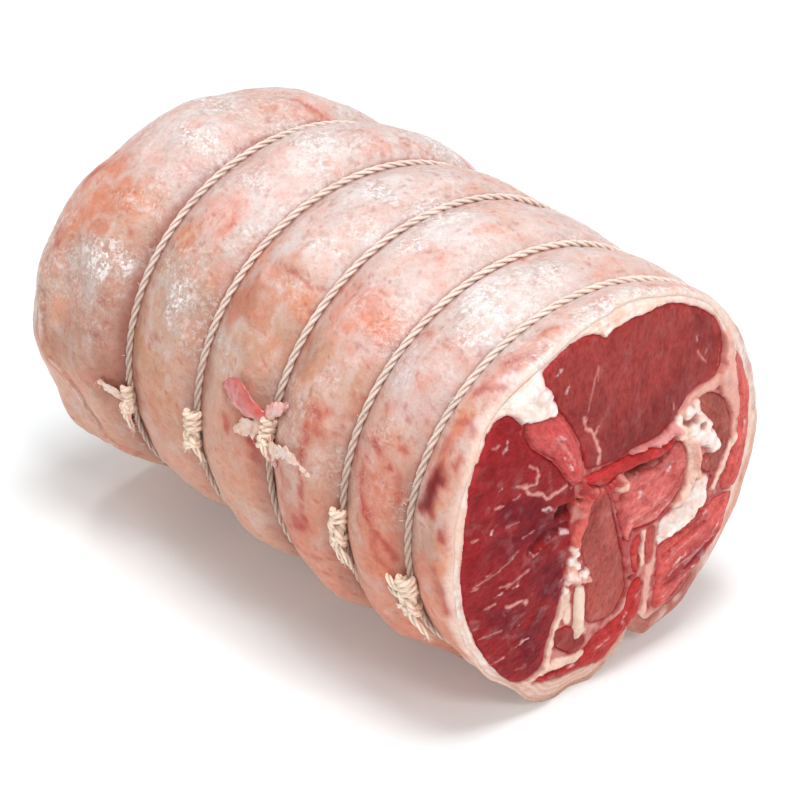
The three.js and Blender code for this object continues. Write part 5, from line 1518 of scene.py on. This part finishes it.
def fat_cap(points, rim):
    """Height, colour and wetness of the cut fat and tissue"""
    depth = depth_inside(points, rim, 200)
    height = face_relief(points) + 0.28 * flat_noise(points, 4.6, 70, 2) - 0.45
    warped = points + 0.7 * flat_shift(points, 2.6, 71, 2)
    colour = painted(len(points), TISSUE_RED)
    colour = blended(colour, FAT_PINK, 0.45 * smooth(flat_noise(points, 4, 73, 3), 0, 0.8))
    narrow = smooth(points[:, 0], 10, 24) * (1 - smooth(points[:, 1], 58, 84))
    low_right = smooth(points[:, 0], 7, 13) * (1 - smooth(points[:, 1], 24, 40))
    away = depth + 0.8 * flat_noise(points, 5, 74, 2) + NARROWER * narrow + LOW_NARROWER * low_right
    band = 1 - smooth(away, *BAND_FADE)
    cream, layers = cream_fat(points, depth)
    height += layers
    colour = blended(colour, cream, band)
    wet = 0.35 + 0.4 * flat_noise(points, 6, 76, 2)
    height, colour = with_ridges(height, colour, points, warped)
    height += 0.14 * flat_noise(points, 1.1, 84, 2)
    colour = blended(colour, FAT_PINK, 0.4 * smooth(flat_noise(points, 2.2, 86, 3), 0.15, 0.8))
    height, colour = with_rim_lines(height, colour, points, depth)
    height, colour = with_hollows(height, colour, points)
    height += BAND_RISE * band * smooth(depth, 0.2, 1.6)
    height -= RIM_ROUND * (1 - smooth(depth, 0, RIM_ROUND_REACH))
    for outline in OUTLINES.values():
        sunk = depth_inside(points, outline, 3)
        height -= MUSCLE_BED * smooth(sunk, 0.1, 1.2)
        colour = blended(colour, TISSUE_RED, 0.5 * smooth(sunk, -0.7, 0.4))
    return height, colour, wet


RIM_OVERLAP = 0.9
CAP_THICKNESS = 9


def make_cap(name, rim, at_front):
    """The cut fat as a plate with a fine outer side and a plain inner one"""
    rim_flat = rim[::2, 1:]
    outline = rim_flat + unit(rim_flat.mean(axis=0) - rim_flat) * RIM_OVERLAP
    flat, faces = filled(outline, FACE_STEP if at_front else BACK_STEP)
    count = len(outline)
    if at_front:
        height, colour, wet = fat_cap(flat, outline)
        outer = np.column_stack([face_x(FRONT, flat) + height, flat])
        inner = np.column_stack([face_x(FRONT, outline) - CAP_THICKNESS, outline])
    else:
        taper = taper_at(BACK_PLACE)
        height, colour, wet = fat_cap(unscaled(flat, taper), unscaled(outline, taper))
        outer = np.column_stack([face_x(BACK, flat) - BACK_RELIEF * height, flat])
        inner = np.column_stack([face_x(BACK, outline) + CAP_THICKNESS, outline])
    side = band_faces(len(outer), 0, count) + [tuple(range(len(outer), len(outer) + count))[::-1]]
    if turning(outline) < 0:
        side = [face[::-1] for face in side]
    faces = faces + side if at_front else [face[::-1] for face in faces + side]
    colour = np.vstack([colour, painted(count, FAT_CREAM)])
    wet = np.concatenate([wet, np.full(count, SIDE_WET)])
    new_piece(name, np.vstack([outer, inner]), faces, FAT_MATERIAL, colour, wet)


# Twine, with painted shade in the grooves between its strands
TWINE_PALE = shade(240, 222, 211)
TWINE_GROOVE_SHADE = shade(146, 104, 90)
TWINE_GROOVE_SHADE_STRENGTH, TWINE_TONE, TWINE_TONE_SIZE = 0.62, 0.09, 4
FIRST_HINT = (0.31, 0.2, 0.93)
LEAST_LENGTH_OUT = 1e-9
THINNING = 0.3
TWINE_SIZE = 0.88
# How much darker the twine is at middle heights, partly soaked and partly painted shade, and the heights
# where it is
TWINE_SOAK_AND_SHADE = np.array([0.3, 0.38, 0.44])
DARKENED_UNDER, DARKENED_FADE, DARKENED_ABOVE = MIDDLE_HEIGHT + 25, (-20, 25), (12, 48)
STRAND_SIDES = 8
STRAND_RADIUS = TWINE_DIAMETER / (2 * (1 + 2 / math.sqrt(3)))
STRAND_OFFSET = STRAND_RADIUS * 2 / math.sqrt(3)
STRAND_PLUMP = 1.15


class Collected:
    """Points, faces and colours of one piece, gathered part by part"""

    def __init__(self):
        self.points, self.faces, self.colours, self.count = [], [], [], 0

    def add(self, points, faces, colours):
        self.points.append(points)
        self.colours.append(colours)
        self.faces += [tuple(corner + self.count for corner in face) for face in faces]
        self.count += len(points)

    def piece(self, name, material, slot, wet, replaced=()):
        points, colours = np.vstack(self.points), np.vstack(self.colours)
        new_piece(name, points, self.faces, material, colours, np.full(len(points), wet), replaced)


def frames_along(path, closed, out_hint):
    """Outward and sideways directions along a path, carried along it where no hint is given"""
    tangent = np.roll(path, -1, axis=0) - np.roll(path, 1, axis=0) if closed else np.gradient(path, axis=0)
    tangent = unit(tangent)
    if out_hint is None:
        out = np.zeros_like(path)
        last = np.cross(tangent[0], FIRST_HINT)
        for index, direction in enumerate(tangent):
            last = last - (last @ direction) * direction
            last = last / np.linalg.norm(last)
            out[index] = last
    else:
        out = out_hint - np.sum(out_hint * tangent, axis=1)[:, None] * tangent
        out /= np.maximum(np.linalg.norm(out, axis=1), LEAST_LENGTH_OUT)[:, None]
    return out, np.cross(tangent, out)


def tube(path, radii, sides, closed, out_hint):
    """Points and faces of a tube along a path"""
    out, side = frames_along(path, closed, out_hint)
    turns = np.linspace(0, 2 * math.pi, sides, endpoint=False)
    radii = np.broadcast_to(np.reshape(radii, (-1, 1)) if np.ndim(radii) < 2 else radii, (len(path), sides))
    ring = (out[:, None] * np.cos(turns)[None, :, None] + side[:, None] * np.sin(turns)[None, :, None])
    points = (path[:, None] + ring * radii[:, :, None]).reshape(-1, 3)
    return points, stacked_faces(len(path), sides, closed, flipped=True)


def add_twisted(collected, path, closed, out_hint, size, tone):
    """Three strands twisted together along a path"""
    walked = walked_along(path)
    length = walked[-1] + (np.linalg.norm(path[0] - path[-1]) if closed else 0)
    turns = max(1, round(length / TWINE_PITCH)) if closed else length / TWINE_PITCH
    out, side = frames_along(path, closed, out_hint)
    for strand in range(3):
        phase = 2 * math.pi * (walked / length * turns + strand / 3)
        away = out * np.cos(phase)[:, None] + side * np.sin(phase)[:, None]
        centre = path + away * (STRAND_OFFSET * size)[:, None]
        points, faces = tube(centre, STRAND_RADIUS * size * STRAND_PLUMP, STRAND_SIDES, closed, away)
        facing, start = np.repeat(away, STRAND_SIDES, axis=0), np.repeat(path, STRAND_SIDES, axis=0)
        outward = np.sum((points - start) * facing, axis=1) / np.repeat(size, STRAND_SIDES)
        # Painted shade on the inner side of each strand, in the grooves between strands
        groove_shade = 1 - smooth(outward, 0.2, STRAND_OFFSET + STRAND_RADIUS * 0.75)
        colour = blended(painted(len(points), tone), TWINE_GROOVE_SHADE, TWINE_GROOVE_SHADE_STRENGTH * groove_shade)
        colour = colour * (1 + TWINE_TONE * noise(points, TWINE_TONE_SIZE, 90, 3))[:, None]
        if closed:
            # Painted shade, along with soaking, at middle heights of each loop
            height = points[:, 2]
            soaked_and_painted_light = smooth(DARKENED_UNDER - height, *DARKENED_FADE) * smooth(height, *DARKENED_ABOVE)
            colour = colour * (1 - TWINE_SOAK_AND_SHADE * soaked_and_painted_light[:, None])
        collected.add(points, faces, colour)


CORD_SIDES = 15
GROOVE_DEPTH, GROOVE_SHADE_STRENGTH, GROOVE_LEVELS = 0.09, 0.5, (0.35, 1)
CORD_PITCH = 7


def add_cord(collected, path, size, tone):
    """Twine pressed tight in a knot: a round cord with three shallow grooves that wind along it, with painted
    shade in the grooves
    """
    turns = np.linspace(0, 2 * math.pi, CORD_SIDES, endpoint=False)
    lobes = np.cos(3 * (turns[None] + (2 * math.pi * walked_along(path) / CORD_PITCH)[:, None]))
    radii = TWINE_DIAMETER / 2 * size * (1 + GROOVE_DEPTH * lobes)
    points, faces = tube(path, radii, CORD_SIDES, False, None)
    groove_shade = smooth(-lobes.ravel(), *GROOVE_LEVELS)
    colour = blended(painted(len(points), tone), KNOT_GROOVE_SHADE, GROOVE_SHADE_STRENGTH * groove_shade)
    collected.add(points, faces, colour * (1 + 0.07 * noise(points, 3, 91, 3))[:, None])


# Loose fibres: points along each, sides, radius at its root and tip, and how they spread, start and bend
FIBRE_POINTS, FIBRE_SIDES, FIBRE_ROOT, FIBRE_TIP = 6, 4, 0.13, 0.05
FIBRE_SPREAD, FIBRE_START, FIBRE_BEND, FIBRE_LENGTHS = 0.55, 0.35, 0.35, (0.4, 1.1)


def add_fibres(collected, base, direction, count, length, seed, tone=TWINE_PALE):
    """Loose fibres that leave a place in about one direction"""
    rng = np.random.default_rng(seed)
    for _ in range(count):
        aim = direction + rng.normal(0, FIBRE_SPREAD, 3)
        aim /= np.linalg.norm(aim)
        bend = rng.normal(0, FIBRE_BEND, 3)
        size = length * rng.uniform(*FIBRE_LENGTHS)
        shares = np.linspace(0, 1, FIBRE_POINTS)[:, None]
        path = base + rng.normal(0, FIBRE_START, 3) + aim * size * shares + bend * size * shares ** 2
        hint = painted(FIBRE_POINTS, rng.normal(0, 1, 3))
        radii = np.linspace(FIBRE_ROOT, FIBRE_TIP, FIBRE_POINTS)
        points, faces = tube(path, radii, FIBRE_SIDES, False, hint)
        collected.add(points, faces, painted(len(points), tone))


def loop_frame(loop, angle):
    """A place on a loop with its directions aside towards the back, along the loop and out"""
    at = loop_point(loop, angle)[0]
    along = loop_point(loop, angle + 1)[0] - loop_point(loop, angle - 1)[0]
    along /= np.linalg.norm(along)
    out = loop_point(loop, angle, 1.0)[0] - at
    out /= np.linalg.norm(out)
    return at, np.cross(along, out), along, out


# Knots: degrees round, then the wraps round the twine (place along it, count, radius), the knot's own
# turns (place along, half length, half width) and the loose ends, as places that they pass through.
# Places are (aside towards the back, along the loop, out).
KNOTS = [
    dict(angle=190.5, wraps=(-3.4, 3, 1.8), turns=(0.6, 2.6, 2.2),
         tails=[[(1, 2, 2), (2, 5, 1.6), (1.4, 8.5, 0.6)]]),
    dict(angle=183.6, wraps=(-2.6, 3, 2.9), turns=(3.2, 3.8, 3.5),
         tails=[[(-2, 4, 2.6), (-3.6, 6.6, 2), (-3.2, 9, 0.8)], [(2, 5, 2.4), (3.4, 7.4, 1.6)]]),
    dict(angle=171.6, wraps=(-1.2, 3, 2.6), turns=(2.4, 2.6, 2.6),
         tails=[[(-1, 3, 3), (-3, 5.4, 2.6), (-4, 6.4, 1.6)]]),
    dict(angle=186.2, wraps=(-4.4, 2, 2.6), turns=(0.6, 5.6, 3.4),
         tails=[[(-1, 4, 3), (-3.2, 6.6, 2.4), (-3.6, 10.6, 0.9)],
                [(0.5, 4, 2.6), (-0.6, 7.8, 2.2), (-0.2, 10, 1)]]),
    dict(angle=195.7, wraps=(-3.8, 3, 2.9), turns=(1.8, 6.0, 3.7),
         tails=[[(2.5, -4, 3), (5.4, -5.4, 2.6), (7.6, -4.6, 0.9)],
                [(2.4, -1, 3), (5.8, -1.6, 2.4), (8.6, 0.2, 0.8)],
                [(2, 2, 3), (4.6, 4.4, 2.4), (5.2, 7, 1)],
                [(-1, 5, 3), (-3.4, 8.6, 2.6), (-3.8, 12.6, 1.1)]]),
]
KNOT_PALE = shade(252, 230, 210)
# Painted shade in the grooves of the knots' cords
KNOT_GROOVE_SHADE = shade(184, 124, 96)
WRAP_GAP = 1.95
KNOT_SIZE = 0.84
KNOT_RADIUS = TWINE_DIAMETER * KNOT_SIZE / 2
WRAP_POINTS, OVERHAND_POINTS, BAND_POINTS = 30, 150, 70
TAIL_STEP, TAIL_START, TAIL_SIZES = 0.4, (0.3, 0.5, 1.4), (0.86, 0.72)
END_FIBRES, END_FIBRE_LENGTH, TOP_FIBRES, TOP_FIBRE_LENGTH, TOP_HEIGHT = 22, 2.0, 12, 1.8, 2.2


def wraps_of(middle, count, radius):
    """Turns that lie side by side round the twine"""
    steps = np.linspace(0, 1, count * WRAP_POINTS)
    turn = 2 * math.pi * count * steps
    helix = radius - KNOT_RADIUS
    along = middle + (steps - 0.5) * count * WRAP_GAP + 0.35 * np.cos(turn)
    return np.stack([helix * 1.1 * np.cos(turn), along, 0.7 + helix * np.sin(turn)], axis=1)


def overhand_of(middle, half, width, seed):
    """An overhand knot, drawn as a trefoil"""
    turn = np.linspace(0, 2 * math.pi, OVERHAND_POINTS) + 0.7 * seed
    long, wide = (half - KNOT_RADIUS) / 3, (width - KNOT_RADIUS) / 3
    aside = wide * (np.sin(turn) + 2 * np.sin(2 * turn))
    along = middle + long * (np.cos(turn) - 2 * np.cos(2 * turn))
    return np.stack([aside, along, 1.7 - 1.15 * np.sin(3 * turn)], axis=1)


def band_of(middle, half, width):
    """The turn that crosses over the overhand knot"""
    turn = np.linspace(0.3, 2.3 * math.pi, BAND_POINTS)
    along = middle + 0.25 * half * np.sin(turn * 0.5)
    return np.stack([0.5 * width * np.cos(turn), along, 1.2 + 0.55 * width * np.sin(turn)], axis=1)


def add_knot(collected, loop, knot, seed):
    """A knot with its wraps, turns, loose ends and fibres"""
    at, aside, along, out = loop_frame(loop, knot["angle"])
    basis = np.stack([aside, along, out])

    def placed(local):
        return at + np.array(local) @ basis

    for path in wraps_of(*knot["wraps"]), overhand_of(*knot["turns"], seed), band_of(*knot["turns"]):
        add_cord(collected, placed(path), KNOT_SIZE, KNOT_PALE)
    for number, tail in enumerate(knot["tails"]):
        start = (tail[0][0] * TAIL_START[0], tail[0][1] * TAIL_START[1], TAIL_START[2])
        path = placed(spaced_line([start] + tail, TAIL_STEP))
        add_twisted(collected, path, False, None, np.linspace(*TAIL_SIZES, len(path)), KNOT_PALE)
        end = path[-1] - path[-2]
        end /= np.linalg.norm(end)
        add_fibres(collected, path[-1], end, END_FIBRES, END_FIBRE_LENGTH, seed * 7 + number, KNOT_PALE)
    top = placed((0, knot["turns"][0], TOP_HEIGHT))
    add_fibres(collected, top, out, TOP_FIBRES, TOP_FIBRE_LENGTH, seed * 11, KNOT_PALE)


# The loops: points round each, how they wander along the roll, where they start to thin past the knot
# and how far out they then lie, and the loose fibres on each
LOOP_POINTS = 720
WANDER, WANDER_SIZE, WANDER_SQUEEZE, WANDER_FADE = 0.25, 6, 0.2, 20
THIN_START, THIN_END, THIN_RISE = 8, (236, 262), 0.6
THIN_SHARES = {3: 0.2}
USUAL_THIN_SHARE = 0.8
LOOP_FIBRES, LOOP_FIBRE_LENGTH, LOOP_FIBRE_RISE = 30, 1.4, 0.6
MOST_SEED = 9999


def make_twine(loop):
    """One loop of twine with its knot, thinner where it leaves the knot under the roll"""
    collected = Collected()
    knot = KNOTS[loop - 1]
    angles = np.linspace(0, 360, LOOP_POINTS, endpoint=False)
    where = np.stack([angles * WANDER_SQUEEZE, angles * 0 + loop, angles * 0], axis=1)
    wander = WANDER * noise(where, WANDER_SIZE, 95)
    thinned = smooth(angles, knot["angle"], knot["angle"] + THIN_START) * (1 - smooth(angles, *THIN_END))
    path = loop_point(loop, angles, THIN_RISE * thinned - TWINE_SINK)
    path[:, 0] += wander * np.minimum(1, np.minimum(angles, 360 - angles) / WANDER_FADE)
    out_hint = loop_point(loop, angles, 1.0) - loop_point(loop, angles, 0.0)
    path[:, 2] = np.maximum(path[:, 2], TWINE_DIAMETER / 2 + 0.1)
    thinned = thinned * THIN_SHARES.get(loop, USUAL_THIN_SHARE)
    add_twisted(collected, path, True, out_hint, TWINE_SIZE * (1 - THINNING * thinned), TWINE_PALE)
    rng = np.random.default_rng(200 + loop)
    for angle in rng.uniform(0, 360, LOOP_FIBRES):
        at, aside, along, out = loop_frame(loop, angle)
        aim = out * rng.uniform(0.2, 0.9) + along * rng.normal(0, 0.8) + aside * rng.normal(0, 0.7)
        root = at + out * LOOP_FIBRE_RISE
        add_fibres(collected, root, aim, 1, LOOP_FIBRE_LENGTH, int(rng.integers(1, MOST_SEED)))
    add_knot(collected, loop, knot, loop)
    collected.piece(f"twisted_twine_{loop}", TWINE_MATERIAL, "twine", 0.0, replaced=[f"twine_{loop}"])


# Scraps of meat and membrane caught under the knots: name, colour, wetness, how ragged, how much of it
# is whitish, then places on the skin with their lift, width and thickness
MEMBRANE = shade(234, 196, 174)
MEMBRANE_PINK = shade(232, 168, 156)
SCRAP_PINK = shade(206, 92, 84)
SCRAPS = [
    ("meat_flap", SCRAP_PINK, 1.0, 0.25, 0.0, [
        (-16.5, 169, 2.0, 3.0, 1.6), (-19, 167.6, 3.0, 4.6, 1.9), (-22.5, 166, 3.2, 6.6, 1.6),
        (-26, 164.6, 2.6, 7.6, 1.3), (-29.5, 163.8, 1.9, 6.6, 1.0), (-32.5, 163.8, 1.4, 3.8, 0.8),
        (-35.2, 164.4, 1.0, 0.8, 0.4)]),
    ("pink_piece", MEMBRANE_PINK, 1.0, 0.5, 0.25, [
        (-18, 168, 1.6, 2.4, 1.4), (-15.5, 166, 2.8, 4.0, 2.0), (-12, 163.6, 2.4, 4.4, 1.6),
        (-9, 161.6, 1.2, 2.6, 1.0), (-7, 160.6, 0.8, 0.8, 0.5)]),
    ("membrane_left", MEMBRANE, 0.4, 1.0, 0.4, [
        (-16.5, 170, 1.8, 2.6, 0.9), (-19.4, 171.6, 2.2, 4.6, 0.7), (-22.4, 172.6, 1.4, 4.4, 0.6),
        (-25.4, 173.2, 1.3, 3.4, 0.5), (-28, 174.6, 0.9, 1.0, 0.4)]),
    ("membrane_right", MEMBRANE, 0.5, 1.0, 0.5, [
        (-15, 172.5, 1.8, 3.0, 1.0), (-11.5, 173.2, 1.9, 4.8, 0.8), (-7.5, 172.8, 1.3, 4.4, 0.7),
        (-3, 171.2, 1.2, 3.4, 0.6), (0.5, 170.0, 1.8, 3.6, 0.6), (3.5, 170.4, 2.4, 2.8, 0.5),
        (6, 171.8, 1.6, 1.8, 0.5), (8, 173.2, 0.9, 0.8, 0.4)]),
    ("membrane_hang", MEMBRANE_PINK, 0.8, 0.7, 0.5, [
        (-15, 172.4, 1.6, 2.6, 1.2), (-12.5, 174.4, 1.6, 3.8, 1.1), (-10.4, 176.6, 1.0, 2.8, 0.8),
        (-9, 178.4, 0.6, 0.9, 0.4)]),
    ("knot_tuft", MEMBRANE, 0.4, 1.0, 0.4, [
        (-86.5, 189.5, 1.6, 2.4, 1.0), (-89, 187.6, 2.2, 3.6, 0.8), (-91.6, 185.6, 1.8, 3.6, 0.6),
        (-94, 183.6, 1.0, 0.9, 0.4)]),
    ("knot_tuft_low", MEMBRANE_PINK, 0.5, 0.9, 0.3, [
        (-86.5, 191.5, 1.8, 2.6, 1.2), (-88, 194, 2.2, 3.8, 1.0), (-88.6, 197.4, 1.4, 2.6, 0.7),
        (-89.4, 201, 0.6, 0.7, 0.3)]),
]
SCRAP_SIDES, SCRAP_STEP = 26, 0.26
EDGE_FIBRES, EDGE_FIBRE_LENGTH, EDGE_FIBRE_PLACE = 12, 1.7, 0.4


def make_scrap(name, tone, wet, tattered, pale, stations, seed):
    """A ribbon of tissue with torn edges that lies on the skin"""
    rng = np.random.default_rng(seed)
    table = spaced_line([(x, angle * DEGREE_LENGTH, *sizes) for x, angle, *sizes in stations], SCRAP_STEP)
    path = on_skin(table[:, 0], table[:, 1] / DEGREE_LENGTH)
    out = on_skin(table[:, 0], table[:, 1] / DEGREE_LENGTH, 1.0) - path
    path = path + out * table[:, 2:3]
    side = unit(np.cross(unit(np.gradient(path, axis=0)), out))
    turns = np.linspace(0, 2 * math.pi, SCRAP_SIDES, endpoint=False)
    edge = np.cos(turns)[None, :, None] * side[:, None] * (table[:, 3] / 2)[:, None, None]
    flat = np.sin(turns)[None, :, None] * out[:, None] * (table[:, 4] / 2)[:, None, None]
    points = (path[:, None] + edge + flat).reshape(-1, 3)
    torn = noise(points, 1.7, seed, 3)[:, None]
    curl = noise(points, 3.4, seed + 1, 2)[:, None]
    fine = noise(points, 0.9, seed + 5, 2)[:, None]
    outer = np.tile(np.cos(turns), len(path))[:, None]
    points = points + tattered * (1.1 * torn + 0.3 * fine) * np.repeat(side, SCRAP_SIDES, axis=0) * outer
    lifted = 0.4 * curl + tattered * 0.5 * torn * outer ** 2 + 0.08 * fine
    points = points + lifted * np.repeat(out, SCRAP_SIDES, axis=0)
    colour = painted(len(points), tone) * (1 + 0.14 * noise(points, 1.8, seed + 2, 3))[:, None]
    colour = blended(colour, SKIN_WHITE_AND_SHEEN, pale * smooth(noise(points, 2.4, seed + 3, 2), -0.2, 0.6))
    colour = blended(colour, SKIN_RED, 0.3 * smooth(noise(points, 1.6, seed + 4, 2), 0.3, 0.9))
    collected = Collected()
    collected.add(points, stacked_faces(len(path), SCRAP_SIDES), colour)
    for number in range(round(EDGE_FIBRES * tattered)):
        station = rng.integers(0, len(path))
        sign = rng.choice([-1, 1])
        start = path[station] + sign * side[station] * table[station, 3] * EDGE_FIBRE_PLACE
        add_fibres(collected, start, sign * side[station], 2, EDGE_FIBRE_LENGTH, seed * 31 + number, tone)
    collected.piece(name, SCRAP_MATERIAL, "fat", wet)


# Stage, light and camera
CAMERA_PLACE = (656.26, -536.55, 481.90)
CAMERA_REACH = 20
CAMERA_AZIMUTH = 50.5
CAMERA_ELEVATION = 27.0
FOCAL_PIXELS = 3200
IMAGE_SIZE = 800
SENSOR = 36
SKY_GLOW, HORIZON_GLOW, HORIZON_BAND = 0.36, 1.0, 0.24
FLOOR_HALF_SIZE = 6
FLOOR_COLOUR, FLOOR_ROUGHNESS, FLOOR_GLOSS, FLOOR_GLOW = (0.885, 0.93, 0.94, 1), 0.7, 0.1, 0.13
WHITE = (1, 1, 1, 1)
LIGHT_TARGET = (0, 0, 0.06)
# Lights: place and size in metres, and power
LIGHTS = {
    "key_light": ((0.34, -0.08, 1.66), (0.75, 0.75), 19.2),
    "back_light": ((-0.9, 0.15, 1.35), (0.24, 0.16), 3.0),
    "left_light": ((-0.55, -1.25, 0.5), (0.18, 0.18), 0.5),
    "front_light": ((1.15, -0.4, 0.95), (0.26, 0.26), 4.4),
    "low_light": ((1.3, 0.45, 0.55), (0.12, 0.12), 1.8),
}


def make_stage():
    size = FLOOR_HALF_SIZE
    mesh = bpy.data.meshes.new("floor")
    corners = [(-size, -size, 0), (size, -size, 0), (size, size, 0), (-size, size, 0)]
    mesh.from_pydata(corners, [], [(0, 1, 2, 3)])
    floor = bpy.data.objects.new("floor", mesh)
    bpy.context.collection.objects.link(floor)
    material = bpy.data.materials.new("pale_floor")
    material.use_nodes = True
    shader = material.node_tree.nodes["Principled BSDF"]
    shader.inputs["Base Color"].default_value = FLOOR_COLOUR
    shader.inputs["Roughness"].default_value = FLOOR_ROUGHNESS
    shader.inputs["Specular IOR Level"].default_value = FLOOR_GLOSS
    shader.inputs["Emission Color"].default_value = WHITE
    shader.inputs["Emission Strength"].default_value = FLOOR_GLOW
    mesh.materials.append(material)


def add_light(name, place, size, power):
    light = bpy.data.lights.new(name, "AREA")
    light.shape = "RECTANGLE"
    light.size, light.size_y = size
    light.energy = power
    lamp = bpy.data.objects.new(name, light)
    lamp.location = place
    lamp.rotation_euler = (Vector(LIGHT_TARGET) - Vector(place)).to_track_quat("-Z", "Y").to_euler()
    bpy.context.collection.objects.link(lamp)


def make_light():
    """Studio lights, and a sky that is brighter near the horizon"""
    for name, settings in LIGHTS.items():
        add_light(name, *settings)
    world = bpy.data.worlds.new("studio")
    world.use_nodes = True
    tree = world.node_tree
    sky = tree.nodes["Background"]
    sky.inputs["Color"].default_value = WHITE
    split = tree.nodes.new("ShaderNodeSeparateXYZ")
    tree.links.new(tree.nodes.new("ShaderNodeTexCoord").outputs["Generated"], split.inputs["Vector"])
    glow = spread(tree, split.outputs["Z"], From_Max=HORIZON_BAND, To_Min=HORIZON_GLOW, To_Max=SKY_GLOW)
    tree.links.new(glow, sky.inputs["Strength"])
    bpy.context.scene.world = world
    bpy.context.scene.view_settings.view_transform = "Standard"


def make_camera():
    camera = bpy.data.cameras.new("camera")
    camera.sensor_width = SENSOR
    camera.lens = FOCAL_PIXELS / IMAGE_SIZE * SENSOR
    camera.clip_end = CAMERA_REACH
    eye = bpy.data.objects.new("camera", camera)
    eye.location = [value * MM for value in CAMERA_PLACE]
    eye.rotation_euler = (math.radians(90 - CAMERA_ELEVATION), 0, math.radians(CAMERA_AZIMUTH))
    bpy.context.collection.objects.link(eye)
    bpy.context.scene.camera = eye


make_camera()
make_light()
make_stage()
front_rim, back_rim = make_skin()
make_cap("cut_fat", front_rim, True)
make_cap("back_fat", back_rim, False)
for muscle_index, (muscle_name, muscle_values) in enumerate(MUSCLES.items()):
    make_muscle(muscle_name, muscle_values, muscle_index)
for loop_number in range(1, LAST_LOOP + 1):
    make_twine(loop_number)
for scrap_index, scrap_values in enumerate(SCRAPS):
    make_scrap(*scrap_values, 300 + 10 * scrap_index)
